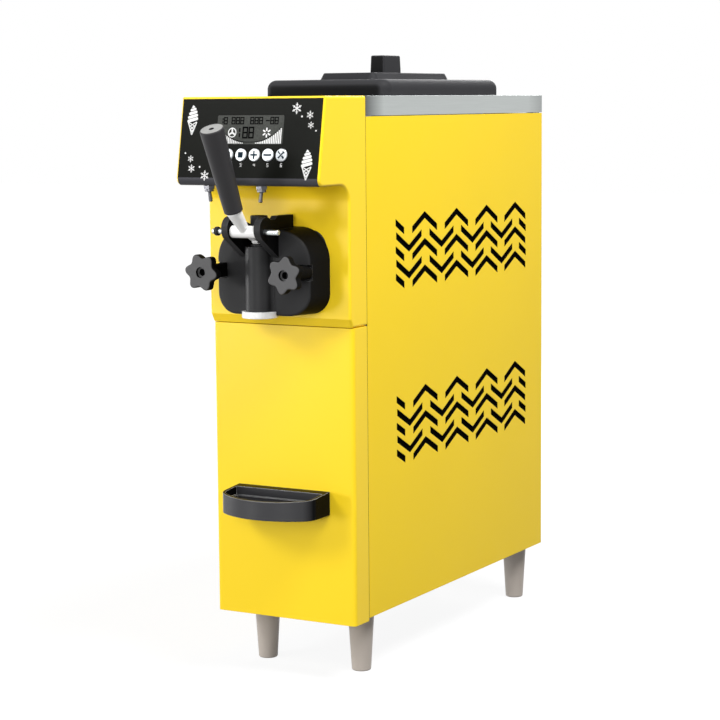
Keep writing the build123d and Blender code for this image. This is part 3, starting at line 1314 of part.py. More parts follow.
PIECES = {
    "base_tray": base_tray(),
    "legs": [leg(x, y) for x, y in LEG_PLACES],
    "corner_posts": [corner_post(side, back) for side in (-1, 1) for back in (False, True)],
    "side_panel_left": mirrored(side_panel()),
    "side_panel_right": side_panel(),
    "rear_panel": rear_panel(),
    "rear_screws": [rear_screw(x, z) for x, z in screw_places()],
    "cord_gland": cord_gland(),
    "top_deck": top_deck(),
    "mid_shelf": mid_shelf(),
    "front_head_cover": front_head_cover(),
    "front_lower_panel": front_lower_panel(),
    "control_fascia": control_fascia(),
    "display_window": display_window(),
    "control_board": control_board(),
    "toggle_switches": [toggle_switch(x) for x in (TOGGLE_X_LEFT, TOGGLE_X_RIGHT)],
    "toggle_lever_left": toggle_lever(TOGGLE_X_LEFT, TOGGLE_LEAN),
    "toggle_lever_right": toggle_lever(TOGGLE_X_RIGHT, -TOGGLE_LEAN),
    "hopper_tank": hopper_tank(),
    "feed_tube": feed_tube(),
    "lid_cover": lid_cover(),
    "lid_handle": lid_handle(),
    "freezing_cylinder": freezing_cylinder(),
    "insulation_block": insulation_block(),
    "dispenser_body": dispenser_body(),
    "dispenser_seal": dispenser_seal(),
    "knob_left": star_knob(-1, KNOB_LEAN_LEFT),
    "knob_right": star_knob(1, KNOB_LEAN_RIGHT),
    "plunger": plunger(),
    "plunger_rings": [plunger_ring(rise) for rise in RING_RISE],
    "outlet_nozzle": outlet_nozzle(),
    "pivot_pin": pivot_pin(),
    "pin_collar": pin_collar(),
    "lever_arm": lever_arm(),
    "lever_grip": lever_grip(),
    "tray_hanger": tray_hanger(),
    "drip_tray": drip_tray(),
    "drive_gear": drive_gear(),
    "pinion_shaft": pinion_shaft(),
    "gearbox_housing": gearbox_housing(),
    "gearbox_cover": gearbox_cover(),
    "gearbox_bearings": gearbox_bearings(),
    "beater": beater(),
    "scraper_blades": [scraper_blade(side) for side in (-1, 1)],
    "driven_pulley": driven_pulley(),
    "motor_pulley": motor_pulley(),
    "drive_belt": drive_belt(),
    "drive_motor": drive_motor(),
    "compressor": compressor(),
    "refrigerant_lines": refrigerant_lines(),
    "condenser": condenser(),
    "fan_shroud": fan_shroud(),
    "fan_motor": fan_motor(),
    "fan_rotor": fan_rotor(),
}
for number, (x, s) in enumerate(reversed(BUTTON_PLACES), start=1):
    PIECES[f"button_{number}"] = push_button(x, s)


def solids_of(piece):
    """The separate solids of a piece, or of a group of like pieces."""
    members = piece if isinstance(piece, list) else [piece]
    return [solid for member in members for solid in member.solids()]


# The origin lies on the table, under the middle of the whole machine
ALL_SOLIDS = [solid for piece in PIECES.values() for solid in solids_of(piece)]
FRONT_Y = min(solid.bounding_box().min.Y for solid in ALL_SOLIDS)
BACK_Y = max(solid.bounding_box().max.Y for solid in ALL_SOLIDS)
MIDDLE_Y = (FRONT_Y + BACK_Y) / 2

os.makedirs("parts", exist_ok=True)
for name, piece in PIECES.items():
    placed = [Pos(0, -MIDDLE_Y, 0) * solid for solid in solids_of(piece)]
    export_step(Compound(placed), f"parts/{name}.step")
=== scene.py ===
import json
from math import cos, pi, radians, sin

import bmesh
import bpy
from mathutils import Matrix, Vector


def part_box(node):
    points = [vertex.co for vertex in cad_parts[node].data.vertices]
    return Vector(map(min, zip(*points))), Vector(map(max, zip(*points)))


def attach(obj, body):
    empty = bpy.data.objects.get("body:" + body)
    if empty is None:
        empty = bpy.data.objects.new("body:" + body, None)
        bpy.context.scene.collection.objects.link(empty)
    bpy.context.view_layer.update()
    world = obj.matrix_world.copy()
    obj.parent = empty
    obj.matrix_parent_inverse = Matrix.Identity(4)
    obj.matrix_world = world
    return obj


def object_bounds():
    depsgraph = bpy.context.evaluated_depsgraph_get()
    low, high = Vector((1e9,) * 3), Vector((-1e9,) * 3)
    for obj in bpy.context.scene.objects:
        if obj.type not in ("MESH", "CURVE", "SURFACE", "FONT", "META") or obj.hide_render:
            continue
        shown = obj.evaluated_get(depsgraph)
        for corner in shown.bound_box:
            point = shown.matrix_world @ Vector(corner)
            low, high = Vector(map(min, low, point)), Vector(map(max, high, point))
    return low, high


# Counter-top soft-serve ice cream maker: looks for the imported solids, in metres.
# Flat graphics on the control panel are drawn in millimetres.

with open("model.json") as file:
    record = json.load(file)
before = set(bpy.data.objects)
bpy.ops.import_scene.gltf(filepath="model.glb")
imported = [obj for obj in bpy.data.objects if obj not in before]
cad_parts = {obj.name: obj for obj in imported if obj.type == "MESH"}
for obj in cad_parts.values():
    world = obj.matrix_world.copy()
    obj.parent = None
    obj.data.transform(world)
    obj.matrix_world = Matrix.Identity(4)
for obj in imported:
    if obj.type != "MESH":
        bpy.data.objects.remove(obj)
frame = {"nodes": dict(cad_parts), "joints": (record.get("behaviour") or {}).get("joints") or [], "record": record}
CAD_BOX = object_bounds()
NODES = frame["nodes"]
RECORD = frame["record"]
MM = 0.001
UP = (0, 0, 1)
AHEAD = (0, -1, 0)           # way that the machine's front looks

# Camera
CAMERA_PLACE = (1.2806, -2.2770, 0.6745)
CAMERA_YAW = 29.42           # degrees to the right of the machine's front
CAMERA_PITCH = 6.96          # degrees down
CAMERA_ROLL = -0.476
CAMERA_LENS = 105.9
SENSOR = 36.0

# Stage
FLOOR_HALF = 12.0
FLOOR_TONE = 0.14            # what the floor throws back on the machine
FLOOR_ROUGH = 0.9
FLOOR_GLOW = 0.88            # what it adds for the eye beside the machine
GLOW_NEAR = 0.5              # metres from the middle where it starts to grow
GLOW_FAR = 1.8               # and where it is full white
WORLD_LIGHT = 0.16

# Lamps: name, place, width in metres and power in watts
LAMPS = (
    ("key", (-1.6, -2.5, 2.1), 1.0, 39.0),
    ("glint", (-1.6, -2.3, 0.3), 0.5, 16.0),
    ("rim", (-2.3, -0.55, 0.3), 0.5, 12.0),
    ("fill", (0.6, -2.9, 0.9), 1.6, 36.0),
    ("side", (1.25, -0.35, 2.3), 1.2, 70.0),
    ("back", (-0.6, 2.4, 1.3), 1.4, 34.0),
)

# Graphics: how far ink stands over its surface, and how deep it starts, in metres
INK_PROUD = 0.00012
INK_SUNK = 0.00005

# Display, in millimetres about the middle of its window
LEVEL_END = 41.2             # outermost level bar from the middle
LEVEL_START = 9.0            # innermost one
LEVEL_PITCH = 2.3
LEVEL_BAR_W = 1.5
LEVEL_LOW = 0.6
LEVEL_RISE = 16.8
LEVEL_POWER = 2.4
LEVEL_LINE_W = 0.7
LEVEL_LINE_STEPS = 24
WINDOW_FOOT = -15.6          # foot of the level bars
SMALL_ROW_Y = 10.3
SMALL_DIGIT_H = 7.2
SMALL_DIGIT_W = 4.0
SMALL_STROKE = 1.2
SMALL_PITCH = 5.8
SMALL_GROUPS = (("18", -38.8), ("888", -22.6), ("888", 2.2), ("-88", 22.8))
LARGE_ROW_Y = -3.2
LARGE_DIGIT_H = 11.6
LARGE_DIGIT_W = 5.6
LARGE_STROKE = 1.7
LARGE_PITCH = 8.0
LARGE_GROUPS = (("1", -16.2), ("88", -6.0))
ICON_Y = -3.2
FAN_ICON_X = -23.3
FAN_ICON_R = 5.6
FLAKE_ICON_X = 22.4
FLAKE_ICON_R = 5.6

# Segments of the figures: a at the top, then clockwise to f, and g across the middle
SEGMENTS = {
    "1": "bc", "2": "abged", "3": "abgcd", "4": "fgbc",
    "5": "afgcd", "6": "afgedc", "8": "abcdefg", "-": "g",
}

# Snow crystals and the fan, as shares of their radius
FLAKE_ARMS = 6
FLAKE_STROKE = 0.17
FLAKE_FORK = 0.52            # where an arm branches
FLAKE_BRANCH_L = 0.28
FLAKE_BRANCH_LEAN = 50       # degrees from the arm
FLAKE_BRANCH_THIN = 0.8      # of the arm's stroke
PETAL_MIDDLE = 0.66
PETAL_L = 0.7
PETAL_W = 0.3
FAN_RING_R = 0.9
FAN_RING_W = 0.2
FAN_BLADES = 3
BLADE_MIDDLE = 0.42
BLADE_L = 0.8
BLADE_W = 0.36

# Ice cream cones, in millimetres about their middle
CONE_RIM = -2.2
CONE_FOOT = -17.0
CONE_HALF = 5.8              # half the width at the rim
CONE_STROKE = 1.3
WAFER_STROKE = 1.0
WAFER_STARTS = (0.0, 0.24, 0.48, 0.72)   # shares of the way from rim to foot
WAFER_REACH = 0.34
SWIRL_LEAN = 14              # degrees
# Turns of the swirl: height, length and width
SWIRL_TURNS = ((0.2, 14.6, 3.4), (4.3, 13.6, 3.3), (8.3, 11.4, 3.1), (12.0, 8.0, 2.8))
SWIRL_TIP = ((-2.6, 13.6), (1.8, 14.4), (1.6, 15.6), (-0.6, 17.0), (-1.2, 16.2))

# Pictures on the panel, in millimetres about the middle of the display
CONE_PLACES = ((-78.0, 11.2), (77.7, -39.1))
FLAKES = (
    (59.5, 23.9, 6.3), (77.2, 16.5, 4.6), (79.2, 5.1, 4.0),
    (-76.8, -33.2, 4.0), (-74.7, -44.3, 4.6), (-56.0, -52.3, 5.8),
)
DOTS = ((66.9, 14.8, 1.1), (86.3, -1.1, 0.9), (-84.5, -26.8, 0.9), (-63.7, -42.5, 1.1))

# Signs on the buttons, in millimetres: strokes from one place to another, and their width
POWER_RING = (3.6, 1.3, 125, 415)        # radius, width, and the degrees where it starts and ends
POWER_STROKE = (0, 0.6, 0, 5.0, 1.3)
SIGN_FLAKE_R = 5.0
SQUARE_SIGN = ((-3.2, 0, 3.2, 0, 6.4),)
PLUS_SIGN = ((-4.6, 0, 4.6, 0, 2.0), (0, 1.0, 0, 4.6, 2.0), (0, -1.0, 0, -4.6, 2.0))
MINUS_SIGN = ((-5.0, 0, 5.0, 0, 2.1),)
TOOLS_SIGN = (
    (-3.6, -3.6, 3.0, 3.0, 1.7), (-3.4, 3.4, -0.9, 0.9, 1.4), (0.9, -0.9, 3.7, -3.7, 2.1),
    (2.0, 4.3, 4.3, 2.0, 1.4), (-4.3, 2.8, -2.8, 4.3, 1.3),
)
NUMBER_DROP = 11.2           # number below the middle of its button
NUMBER_H = 3.6
NUMBER_W = 1.9
NUMBER_STROKE = 0.55

# Other pieces, in metres
ROLL_H = 0.0092              # height of the greyer band at the foot of the control panel, a painted sheen on its rolled edge
BLOCK_DEEP = 0.061           # face of the dispenser block behind its ears, where its painted shade is deepest
BLOCK_NEAR = 0.025           # and front of its barrel, where that painted shade ends
PAINT_DEPTH = 0.05 * MM      # how deep the yellow reaches into the side panels; faces deeper in get painted shade
GRIP_TENTH = 10              # one in this many of the grip's points lie at each end
SCREEN_ROWS = ((0.239, 0.337), (0.449, 0.547))   # heights of the two groups of vents
SCREEN_FRONT = 0.062         # gauze behind the front edge of its panel
SCREEN_BACK = 0.042          # and ahead of the rear edge
SCREEN_GAP = 0.0004
SCREEN_T = 0.0004
SCREW_FLAT = 0.0002          # depth of a screw head's flat top
SCREW_APART = 0.012
CROSS_L = 0.0019             # half a cross bar
CROSS_W = 0.00045

# Surfaces
EDGE_R = 0.0007              # rounding of sharp edges, in metres
EDGE_FLAT = 0.99             # cosine to the rounded edge where edge wear and painted highlight start
EDGE_FULL = 0.9              # and where they are full
EDGE_WEAR_AND_SHEEN = 1.3              # tone of the paler edges, partly wear and partly painted highlight
BRUSH_SCALE = 900.0
BRUSH_DETAIL = 5.0
BRUSH_STRETCH = (1.0, 0.02, 1.0)         # lines run along Y
DECK_END = 0.82              # share of the way to an end of the deck where its painted shade starts
DECK_FAR_DARK = 0.4          # how far the rear end turns to the painted shade


def colour(r, g, b):
    return (r, g, b, 1.0)


# Colours in linear light
WHITE = colour(1, 1, 1)
YELLOW = colour(1.0, 0.7, 0.02)
# painted shade for the inside of the cabinet walls and the walls of the vent slots
INNER_SHADE = colour(0.006, 0.006, 0.006)
FASCIA = colour(0.007, 0.0075, 0.006)
# painted sheen on the rolled lower edge of the control panel
FASCIA_ROLL_SHEEN = colour(0.062, 0.062, 0.07)
GLOSS_BLACK = colour(0.034, 0.034, 0.037)
SATIN_BLACK = colour(0.016, 0.016, 0.017)
LID = colour(0.006, 0.006, 0.0065)
KNOB = colour(0.09, 0.089, 0.091)
BLOCK = colour(0.027, 0.027, 0.028)
GRIP = colour(0.026, 0.025, 0.027)
# painted sheen on the grip's end face
GRIP_END_SHEEN = colour(0.3, 0.3, 0.29)
PLASTIC_WHITE = colour(0.95, 0.95, 0.94)
LEG = colour(0.5, 0.445, 0.395)
RUBBER = colour(0.02, 0.02, 0.02)
ENAMEL = colour(0.02, 0.02, 0.022)
BUTTON = colour(0.7, 0.73, 0.75)
STEEL = colour(0.52, 0.55, 0.54)
CYLINDER_STEEL = colour(0.05, 0.05, 0.052)
MACHINE_STEEL = colour(0.5, 0.5, 0.51)
SWITCH_METAL = colour(0.13, 0.13, 0.14)
ALUMINIUM = colour(0.55, 0.56, 0.57)
COPPER = colour(0.72, 0.36, 0.2)
ZINC_DARK = colour(0.42, 0.43, 0.44)
ZINC_PALE = colour(0.56, 0.57, 0.58)
# painted shade between the condenser's fins
FIN_GAP_SHADE = colour(0.05, 0.05, 0.05)
# near black gauze that stands in as painted shade behind the vents
MESH_DARK = colour(0.002, 0.002, 0.002)
MESH_PALE = colour(0.005, 0.005, 0.005)
DISPLAY_DARK = colour(0.032, 0.034, 0.03)
DISPLAY_PALE = colour(0.07, 0.073, 0.066)
BOARD = colour(0.02, 0.12, 0.05)
TRACKS = colour(0.05, 0.22, 0.1)
INK_WHITE = colour(0.85, 0.85, 0.84)
INK_DARK = colour(0.002, 0.002, 0.002)
SIGN_INK = colour(0.02, 0.035, 0.05)


# Ways to make the pieces

def finish_piece(name, mesh, material, body):
    """Turns a bmesh into an object that rides on a body."""
    bmesh.ops.recalc_face_normals(mesh, faces=mesh.faces)
    data = bpy.data.meshes.new(name)
    mesh.to_mesh(data)
    mesh.free()
    data.materials.append(material)
    piece = bpy.data.objects.new(name, data)
    bpy.context.scene.collection.objects.link(piece)
    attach(piece, body)


def prism(mesh, low, high):
    """Closed prism between two rings of points."""
    rings = [[mesh.verts.new(point) for point in ring] for ring in (low, high)]
    mesh.faces.new(rings[0])
    mesh.faces.new(rings[1])
    count = len(low)
    for i in range(count):
        j = (i + 1) % count
        mesh.faces.new((rings[0][i], rings[0][j], rings[1][j], rings[1][i]))


# The control panel's directions follow the way its buttons are pressed
PRESS = next(joint["axis"] for joint in frame["joints"] if joint["name"] == "button_1_press")
PANEL_OUT = -Vector(PRESS).normalized()
PANEL_RIGHT = Vector((1, 0, 0))
PANEL_UP = PANEL_OUT.cross(PANEL_RIGHT)


def front_of(node):
    """Middle of a node's front, seen square to the control panel."""
    points = [vertex.co for vertex in NODES[node].data.vertices]
    across = [point.dot(PANEL_RIGHT) for point in points]
    upward = [point.dot(PANEL_UP) for point in points]
    out = max(point.dot(PANEL_OUT) for point in points)
    x = (min(across) + max(across)) / 2
    y = (min(upward) + max(upward)) / 2
    return PANEL_RIGHT * x + PANEL_UP * y + PANEL_OUT * out


def ink(name, outlines, origin, material, body):
    """Thin raised print on the control panel, from outlines in millimetres about an origin."""
    mesh = bmesh.new()
    for outline in outlines:
        flat = [origin + (PANEL_RIGHT * x + PANEL_UP * y) * MM for x, y in outline]
        low = [point - PANEL_OUT * INK_SUNK for point in flat]
        high = [point + PANEL_OUT * INK_PROUD for point in flat]
        prism(mesh, low, high)
    finish_piece(name, mesh, material, body)


# Flat outlines in millimetres

def bar(x0, y0, x1, y1, width):
    """Straight stroke with square ends."""
    along = Vector((x1 - x0, y1 - y0)).normalized()
    side = Vector((-along.y, along.x)) * width / 2
    start = Vector((x0, y0))
    end = Vector((x1, y1))
    return [tuple(point) for point in (start - side, end - side, end + side, start + side)]


def strokes_of(sign):
    return [bar(*stroke) for stroke in sign]


def disc(x, y, r, steps=20):
    return [(x + r * cos(2 * pi * i / steps), y + r * sin(2 * pi * i / steps)) for i in range(steps)]


def arc_band(x, y, r, width, start, end, steps=20):
    """Part of a ring between two angles in degrees."""
    turns = [radians(start + (end - start) * i / steps) for i in range(steps + 1)]
    outer = [(x + (r + width / 2) * cos(a), y + (r + width / 2) * sin(a)) for a in turns]
    inner = [(x + (r - width / 2) * cos(a), y + (r - width / 2) * sin(a)) for a in reversed(turns)]
    return outer + inner


def ring(x, y, r, width):
    return [arc_band(x, y, r, width, start, start + 180) for start in (0, 180)]


def capsule(x, y, length, height, lean, steps=8):
    """Bar with round ends, leaning by some degrees."""
    r = height / 2
    half = length / 2 - r
    points = []
    for end in (1, -1):
        for i in range(steps + 1):
            turn = -pi / 2 + pi * i / steps
            points.append((end * (half + r * cos(turn)), end * r * sin(turn)))
    c = cos(radians(lean))
    s = sin(radians(lean))
    return [(x + c * a - s * b, y + s * a + c * b) for a, b in points]


def petals(x, y, count, middle, length, width):
    """Capsules that point out from the middle of a sign, the first one upright."""
    made = []
    for i in range(count):
        turn = pi / 2 + 2 * pi * i / count
        made.append(capsule(x + middle * cos(turn), y + middle * sin(turn), length, width, turn * 180 / pi))
    return made


def digit(sign, x, y, width, height, stroke):
    """Figure made of seven straight segments, about its middle."""
    w = width / 2
    h = height / 2
    edge = stroke / 2
    far = w + edge
    ends = {
        "a": (-far, h, far, h), "g": (-far, 0, far, 0), "d": (-far, -h, far, -h),
        "f": (-w, edge, -w, h - edge), "b": (w, edge, w, h - edge),
        "e": (-w, edge - h, -w, -edge), "c": (w, edge - h, w, -edge),
    }
    strokes = []
    for segment in SEGMENTS[sign]:
        x0, y0, x1, y1 = ends[segment]
        strokes.append(bar(x + x0, y + y0, x + x1, y + y1, stroke))
    return strokes


def number(text, x, y, width, height, stroke, pitch):
    """Figures in a row, from the middle of the first one."""
    strokes = []
    for i, sign in enumerate(text):
        strokes += digit(sign, x + pitch * i, y, width, height, stroke)
    return strokes


def flake(x, y, r):
    """Snow crystal with branched arms."""
    strokes = []
    stroke = r * FLAKE_STROKE
    reach = FLAKE_BRANCH_L * r
    for i in range(FLAKE_ARMS):
        turn = pi / 2 + 2 * pi * i / FLAKE_ARMS
        tip = (x + r * cos(turn), y + r * sin(turn))
        strokes.append(bar(x, y, *tip, stroke))
        fork = (x + FLAKE_FORK * r * cos(turn), y + FLAKE_FORK * r * sin(turn))
        for side in (-1, 1):
            branch = turn + side * radians(FLAKE_BRANCH_LEAN)
            end = (fork[0] + reach * cos(branch), fork[1] + reach * sin(branch))
            strokes.append(bar(*fork, *end, stroke * FLAKE_BRANCH_THIN))
    return strokes


def petal_flake(x, y, r):
    """Plain star of fat strokes that leave the middle open."""
    return petals(x, y, FLAKE_ARMS, PETAL_MIDDLE * r, PETAL_L * r, PETAL_W * r)


def fan_icon(x, y, r):
    """Ring with blades."""
    blades = petals(x, y, FAN_BLADES, BLADE_MIDDLE * r, BLADE_L * r, BLADE_W * r)
    return ring(x, y, r * FAN_RING_R, r * FAN_RING_W) + blades


def cone_edge(x, y, side, share):
    """Place on a side of the cone, at a share of the way from its rim to its foot."""
    height = CONE_RIM + (CONE_FOOT - CONE_RIM) * share
    return (x + side * CONE_HALF * (1 - share), y + height)


def cone_picture(x, y):
    """Wafer cone under a swirl of four turns and a tip."""
    strokes = [capsule(x, y + level, length, width, SWIRL_LEAN) for level, length, width in SWIRL_TURNS]
    strokes.append([(x + a, y + b) for a, b in SWIRL_TIP])
    for side in (-1, 1):
        strokes.append(bar(*cone_edge(x, y, side, 0.0), *cone_edge(x, y, side, 1.0), CONE_STROKE))
        for start in WAFER_STARTS:
            end = min(1.0, start + WAFER_REACH)
            strokes.append(bar(*cone_edge(x, y, side, start), *cone_edge(x, y, -side, end), WAFER_STROKE))
    return strokes


# Control panel

def level_height(x):
    return LEVEL_LOW + LEVEL_RISE * (abs(x) / LEVEL_END) ** LEVEL_POWER


def level_bars():
    """Bars that grow to both sides along the foot of the display."""
    bars = []
    count = int((LEVEL_END - LEVEL_START) / LEVEL_PITCH) + 1
    for side in (-1, 1):
        for i in range(count):
            x = side * (LEVEL_END - LEVEL_PITCH * i)
            bars.append(bar(x, WINDOW_FOOT, x, WINDOW_FOOT + level_height(x), LEVEL_BAR_W))
    return bars


def level_line():
    """Dark curve just over the bars."""
    places = [LEVEL_END * (2 * i / LEVEL_LINE_STEPS - 1) for i in range(LEVEL_LINE_STEPS + 1)]
    low = [(x, WINDOW_FOOT + level_height(x) + LEVEL_LINE_W) for x in places]
    high = [(x, y + LEVEL_LINE_W) for x, y in reversed(low)]
    return [low + high]


def display_figures(origin, material):
    strokes = level_line()
    for text, x in SMALL_GROUPS:
        strokes += number(text, x, SMALL_ROW_Y, SMALL_DIGIT_W, SMALL_DIGIT_H, SMALL_STROKE, SMALL_PITCH)
    for text, x in LARGE_GROUPS:
        strokes += number(text, x, LARGE_ROW_Y, LARGE_DIGIT_W, LARGE_DIGIT_H, LARGE_STROKE, LARGE_PITCH)
    ink("display_figures", strokes, origin, material, "cabinet")


def display_signs(origin, material):
    strokes = level_bars()
    strokes += fan_icon(FAN_ICON_X, ICON_Y, FAN_ICON_R)
    strokes += petal_flake(FLAKE_ICON_X, ICON_Y, FLAKE_ICON_R)
    ink("display_signs", strokes, origin, material, "cabinet")


def panel_pictures(origin, material):
    strokes = []
    for x, y in CONE_PLACES:
        strokes += cone_picture(x, y)
    for x, y, r in FLAKES:
        strokes += flake(x, y, r)
    strokes += [disc(x, y, r) for x, y, r in DOTS]
    ink("panel_pictures", strokes, origin, material, "cabinet")


def button_signs():
    """Outlines of the six signs, from the left button to the right one."""
    power = [arc_band(0, 0, *POWER_RING), bar(*POWER_STROKE)]
    plain = [strokes_of(sign) for sign in (SQUARE_SIGN, PLUS_SIGN, MINUS_SIGN, TOOLS_SIGN)]
    return [power, flake(0, 0, SIGN_FLAKE_R)] + plain


def button_prints(dark, pale, window):
    """A sign on each button, and its number printed below it on the panel."""
    numbers = []
    for i, outlines in enumerate(button_signs(), start=1):
        place = front_of(f"button_{i}")
        ink(f"button_sign_{i}", outlines, place, dark, f"button_{i}")
        x = (place - window).dot(PANEL_RIGHT) / MM
        y = (place - window).dot(PANEL_UP) / MM - NUMBER_DROP
        numbers += digit(str(i), x, y, NUMBER_W, NUMBER_H, NUMBER_STROKE)
    ink("button_numbers", numbers, window, pale, "cabinet")


# Materials: small helpers for their nodes

def add(tree, kind, sockets, **settings):
    """Adds a node with its settings, and with values or links on its sockets."""
    made = tree.nodes.new(kind)
    for key, value in settings.items():
        setattr(made, key, value)
    for key, value in sockets.items():
        if isinstance(value, bpy.types.NodeSocket):
            tree.links.new(value, made.inputs[key])
        else:
            made.inputs[key].default_value = value
    return made


def object_place(tree, stretch=(1, 1, 1)):
    """The place on the piece in its rest frame, in metres, stretched along the axes."""
    coords = add(tree, "ShaderNodeTexCoord", {})
    mapped = add(tree, "ShaderNodeMapping", {"Vector": coords.outputs["Object"], "Scale": stretch})
    return mapped.outputs["Vector"]


def place_along(tree, axis):
    """The place on the piece along one axis of its rest frame, in metres."""
    return add(tree, "ShaderNodeSeparateXYZ", {"Vector": object_place(tree)}).outputs[axis]


def calc(tree, operation, first, second=0.0):
    return add(tree, "ShaderNodeMath", {0: first, 1: second}, operation=operation).outputs["Value"]


def dot(tree, first, second):
    made = add(tree, "ShaderNodeVectorMath", {0: first, 1: second}, operation="DOT_PRODUCT")
    return made.outputs["Value"]


def ramp(tree, value, start=0.0, end=1.0, low=0.0, high=1.0):
    """Turns start to end into low to high, and stays at these beyond them."""
    made = add(tree, "ShaderNodeMapRange", {
        "Value": value, "From Min": start, "From Max": end, "To Min": low, "To Max": high,
    })
    return made.outputs["Result"]


def noise(tree, scale, detail=3.0, stretch=(1, 1, 1)):
    texture = add(tree, "ShaderNodeTexNoise", {
        "Vector": object_place(tree, stretch), "Scale": scale, "Detail": detail,
    })
    return texture.outputs["Fac"]


def brush_lines(tree):
    return noise(tree, BRUSH_SCALE, BRUSH_DETAIL, BRUSH_STRETCH)


def bricks(tree, scale):
    return add(tree, "ShaderNodeTexBrick", {"Vector": object_place(tree), "Scale": scale}).outputs["Fac"]


def uneven(tree, scale, low, high):
    """Value that wavers between low and high."""
    return ramp(tree, noise(tree, scale), low=low, high=high)


def two_colours(tree, share, first, second):
    mixed = add(tree, "ShaderNodeMixRGB", {"Fac": share, "Color1": first, "Color2": second})
    return mixed.outputs["Color"]


def darker(tone, share):
    return tuple(c * share for c in tone[:3]) + (1.0,)


def mottled(tree, tone, scale, share):
    """Tone with patches that are darker by a share."""
    return two_colours(tree, noise(tree, scale), tone, darker(tone, share))


def bump(tree, height, strength, distance):
    """Small unevenness, over edges that are rounded a little to catch the light."""
    rounded = add(tree, "ShaderNodeBevel", {"Radius": EDGE_R})
    made = add(tree, "ShaderNodeBump", {
        "Height": height, "Strength": strength, "Distance": distance, "Normal": rounded.outputs["Normal"],
    })
    return made.outputs["Normal"]


def grained(tree, scale, strength, distance):
    return bump(tree, noise(tree, scale), strength, distance)


def facing(tree, direction, start, end):
    """How much the surface faces a direction of its rest frame: 0 up to one cosine, 1 from another on."""
    normal = add(tree, "ShaderNodeTexCoord", {}).outputs["Normal"]
    return ramp(tree, dot(tree, normal, direction), start, end)


def edge_share(tree):
    """1 along sharp edges, where the paler wear and painted highlight go and the buttons turn dark, and 0 on flat
    or gently curved faces.
    """
    rounded = add(tree, "ShaderNodeBevel", {"Radius": EDGE_R}).outputs["Normal"]
    flat = add(tree, "ShaderNodeNewGeometry", {}).outputs["Normal"]
    return ramp(tree, dot(tree, rounded, flat), EDGE_FLAT, EDGE_FULL)


def shade(tree, **sockets):
    """Sets values or links on the principled shader, by socket names with spaces as underlines."""
    shader = tree.nodes["Principled BSDF"]
    for key, value in sockets.items():
        socket = shader.inputs[key.replace("_", " ")]
        if isinstance(value, bpy.types.NodeSocket):
            tree.links.new(value, socket)
        else:
            socket.default_value = value


def new_material(name):
    material = bpy.data.materials.new(name)
    material.use_nodes = True
    return material, material.node_tree


# Materials of the pieces

def yellow_paint(half_width):
    """Gloss coat with a faint orange peel. Faces inside the cabinet walls, the walls of the vent slots among them,
    are dark as painted shade of the cabinet's inside.
    """
    material, tree = new_material("yellow_paint")
    coat = mottled(tree, YELLOW, scale=6.0, share=0.95)
    # faces deeper in than the paint get the painted shade
    side = calc(tree, "ABSOLUTE", place_along(tree, "X"))
    inside = calc(tree, "LESS_THAN", side, half_width)
    shade(
        tree,
        Base_Color=two_colours(tree, inside, coat, INNER_SHADE),
        Roughness=uneven(tree, scale=40.0, low=0.26, high=0.36),
        Normal=grained(tree, scale=700.0, strength=0.06, distance=0.0004),
        Specular_IOR_Level=0.08,
    )
    return material


def yellow_cover():
    """Moulded gloss plastic in the same yellow, duller on top."""
    material, tree = new_material("yellow_cover")
    gloss = uneven(tree, scale=60.0, low=0.28, high=0.36)
    dull = ramp(tree, facing(tree, UP, start=0.7, end=0.95), high=0.6)
    shade(
        tree,
        Base_Color=mottled(tree, YELLOW, scale=5.0, share=0.95),
        Roughness=calc(tree, "MAXIMUM", gloss, dull),
        Normal=grained(tree, scale=500.0, strength=0.02, distance=0.0004),
        Specular_IOR_Level=0.2,
    )
    return material


def brushed_steel():
    material, tree = new_material("brushed_steel")
    lines = brush_lines(tree)
    shade(
        tree,
        Base_Color=two_colours(tree, lines, STEEL, darker(STEEL, 0.82)),
        Metallic=1.0,
        Roughness=ramp(tree, lines, low=0.24, high=0.38),
        Normal=bump(tree, lines, strength=0.12, distance=0.0002),
    )
    return material


def galvanised():
    """Zinc coat with spangles."""
    material, tree = new_material("galvanised_sheet")
    cells = add(tree, "ShaderNodeTexVoronoi", {"Vector": object_place(tree), "Scale": 90.0})
    tone = add(tree, "ShaderNodeRGBToBW", {"Color": cells.outputs["Color"]}).outputs["Val"]
    shade(
        tree,
        Base_Color=two_colours(tree, tone, ZINC_DARK, ZINC_PALE),
        Metallic=0.9,
        Roughness=ramp(tree, tone, low=0.35, high=0.55),
    )
    return material


def plastic(name, tone, rough, grain, depth, shine=0.5, sides=1.0, turn=(0.3, 0.9), wear_and_sheen=0.01):
    """Moulded plastic with a fine grain, and edges made paler, partly as wear and partly as a painted highlight.

    Faces that don't look to the front have the tone times sides: painted shade where that factor is under 1,
    painted light where it is over 1.
    """
    material, tree = new_material(name)
    # painted shade and light by the way each face looks
    ahead = facing(tree, AHEAD, *turn)
    even = two_colours(tree, ahead, darker(tone, sides), tone)
    patches = uneven(tree, scale=25.0, low=1.0, high=0.92)
    skin = add(
        tree, "ShaderNodeMixRGB", {"Fac": 1.0, "Color1": even, "Color2": patches}, blend_type="MULTIPLY"
    )
    # edges paler: partly wear, partly a painted highlight
    pale = tuple(c * EDGE_WEAR_AND_SHEEN + wear_and_sheen for c in tone[:3]) + (1.0,)
    shade(
        tree,
        Base_Color=two_colours(tree, edge_share(tree), skin.outputs["Color"], pale),
        Roughness=uneven(tree, 35.0, *rough),
        Normal=grained(tree, scale=grain, strength=depth, distance=0.0003),
        Specular_IOR_Level=ramp(tree, ahead, low=shine * min(sides, 1.0), high=shine),
    )
    return material


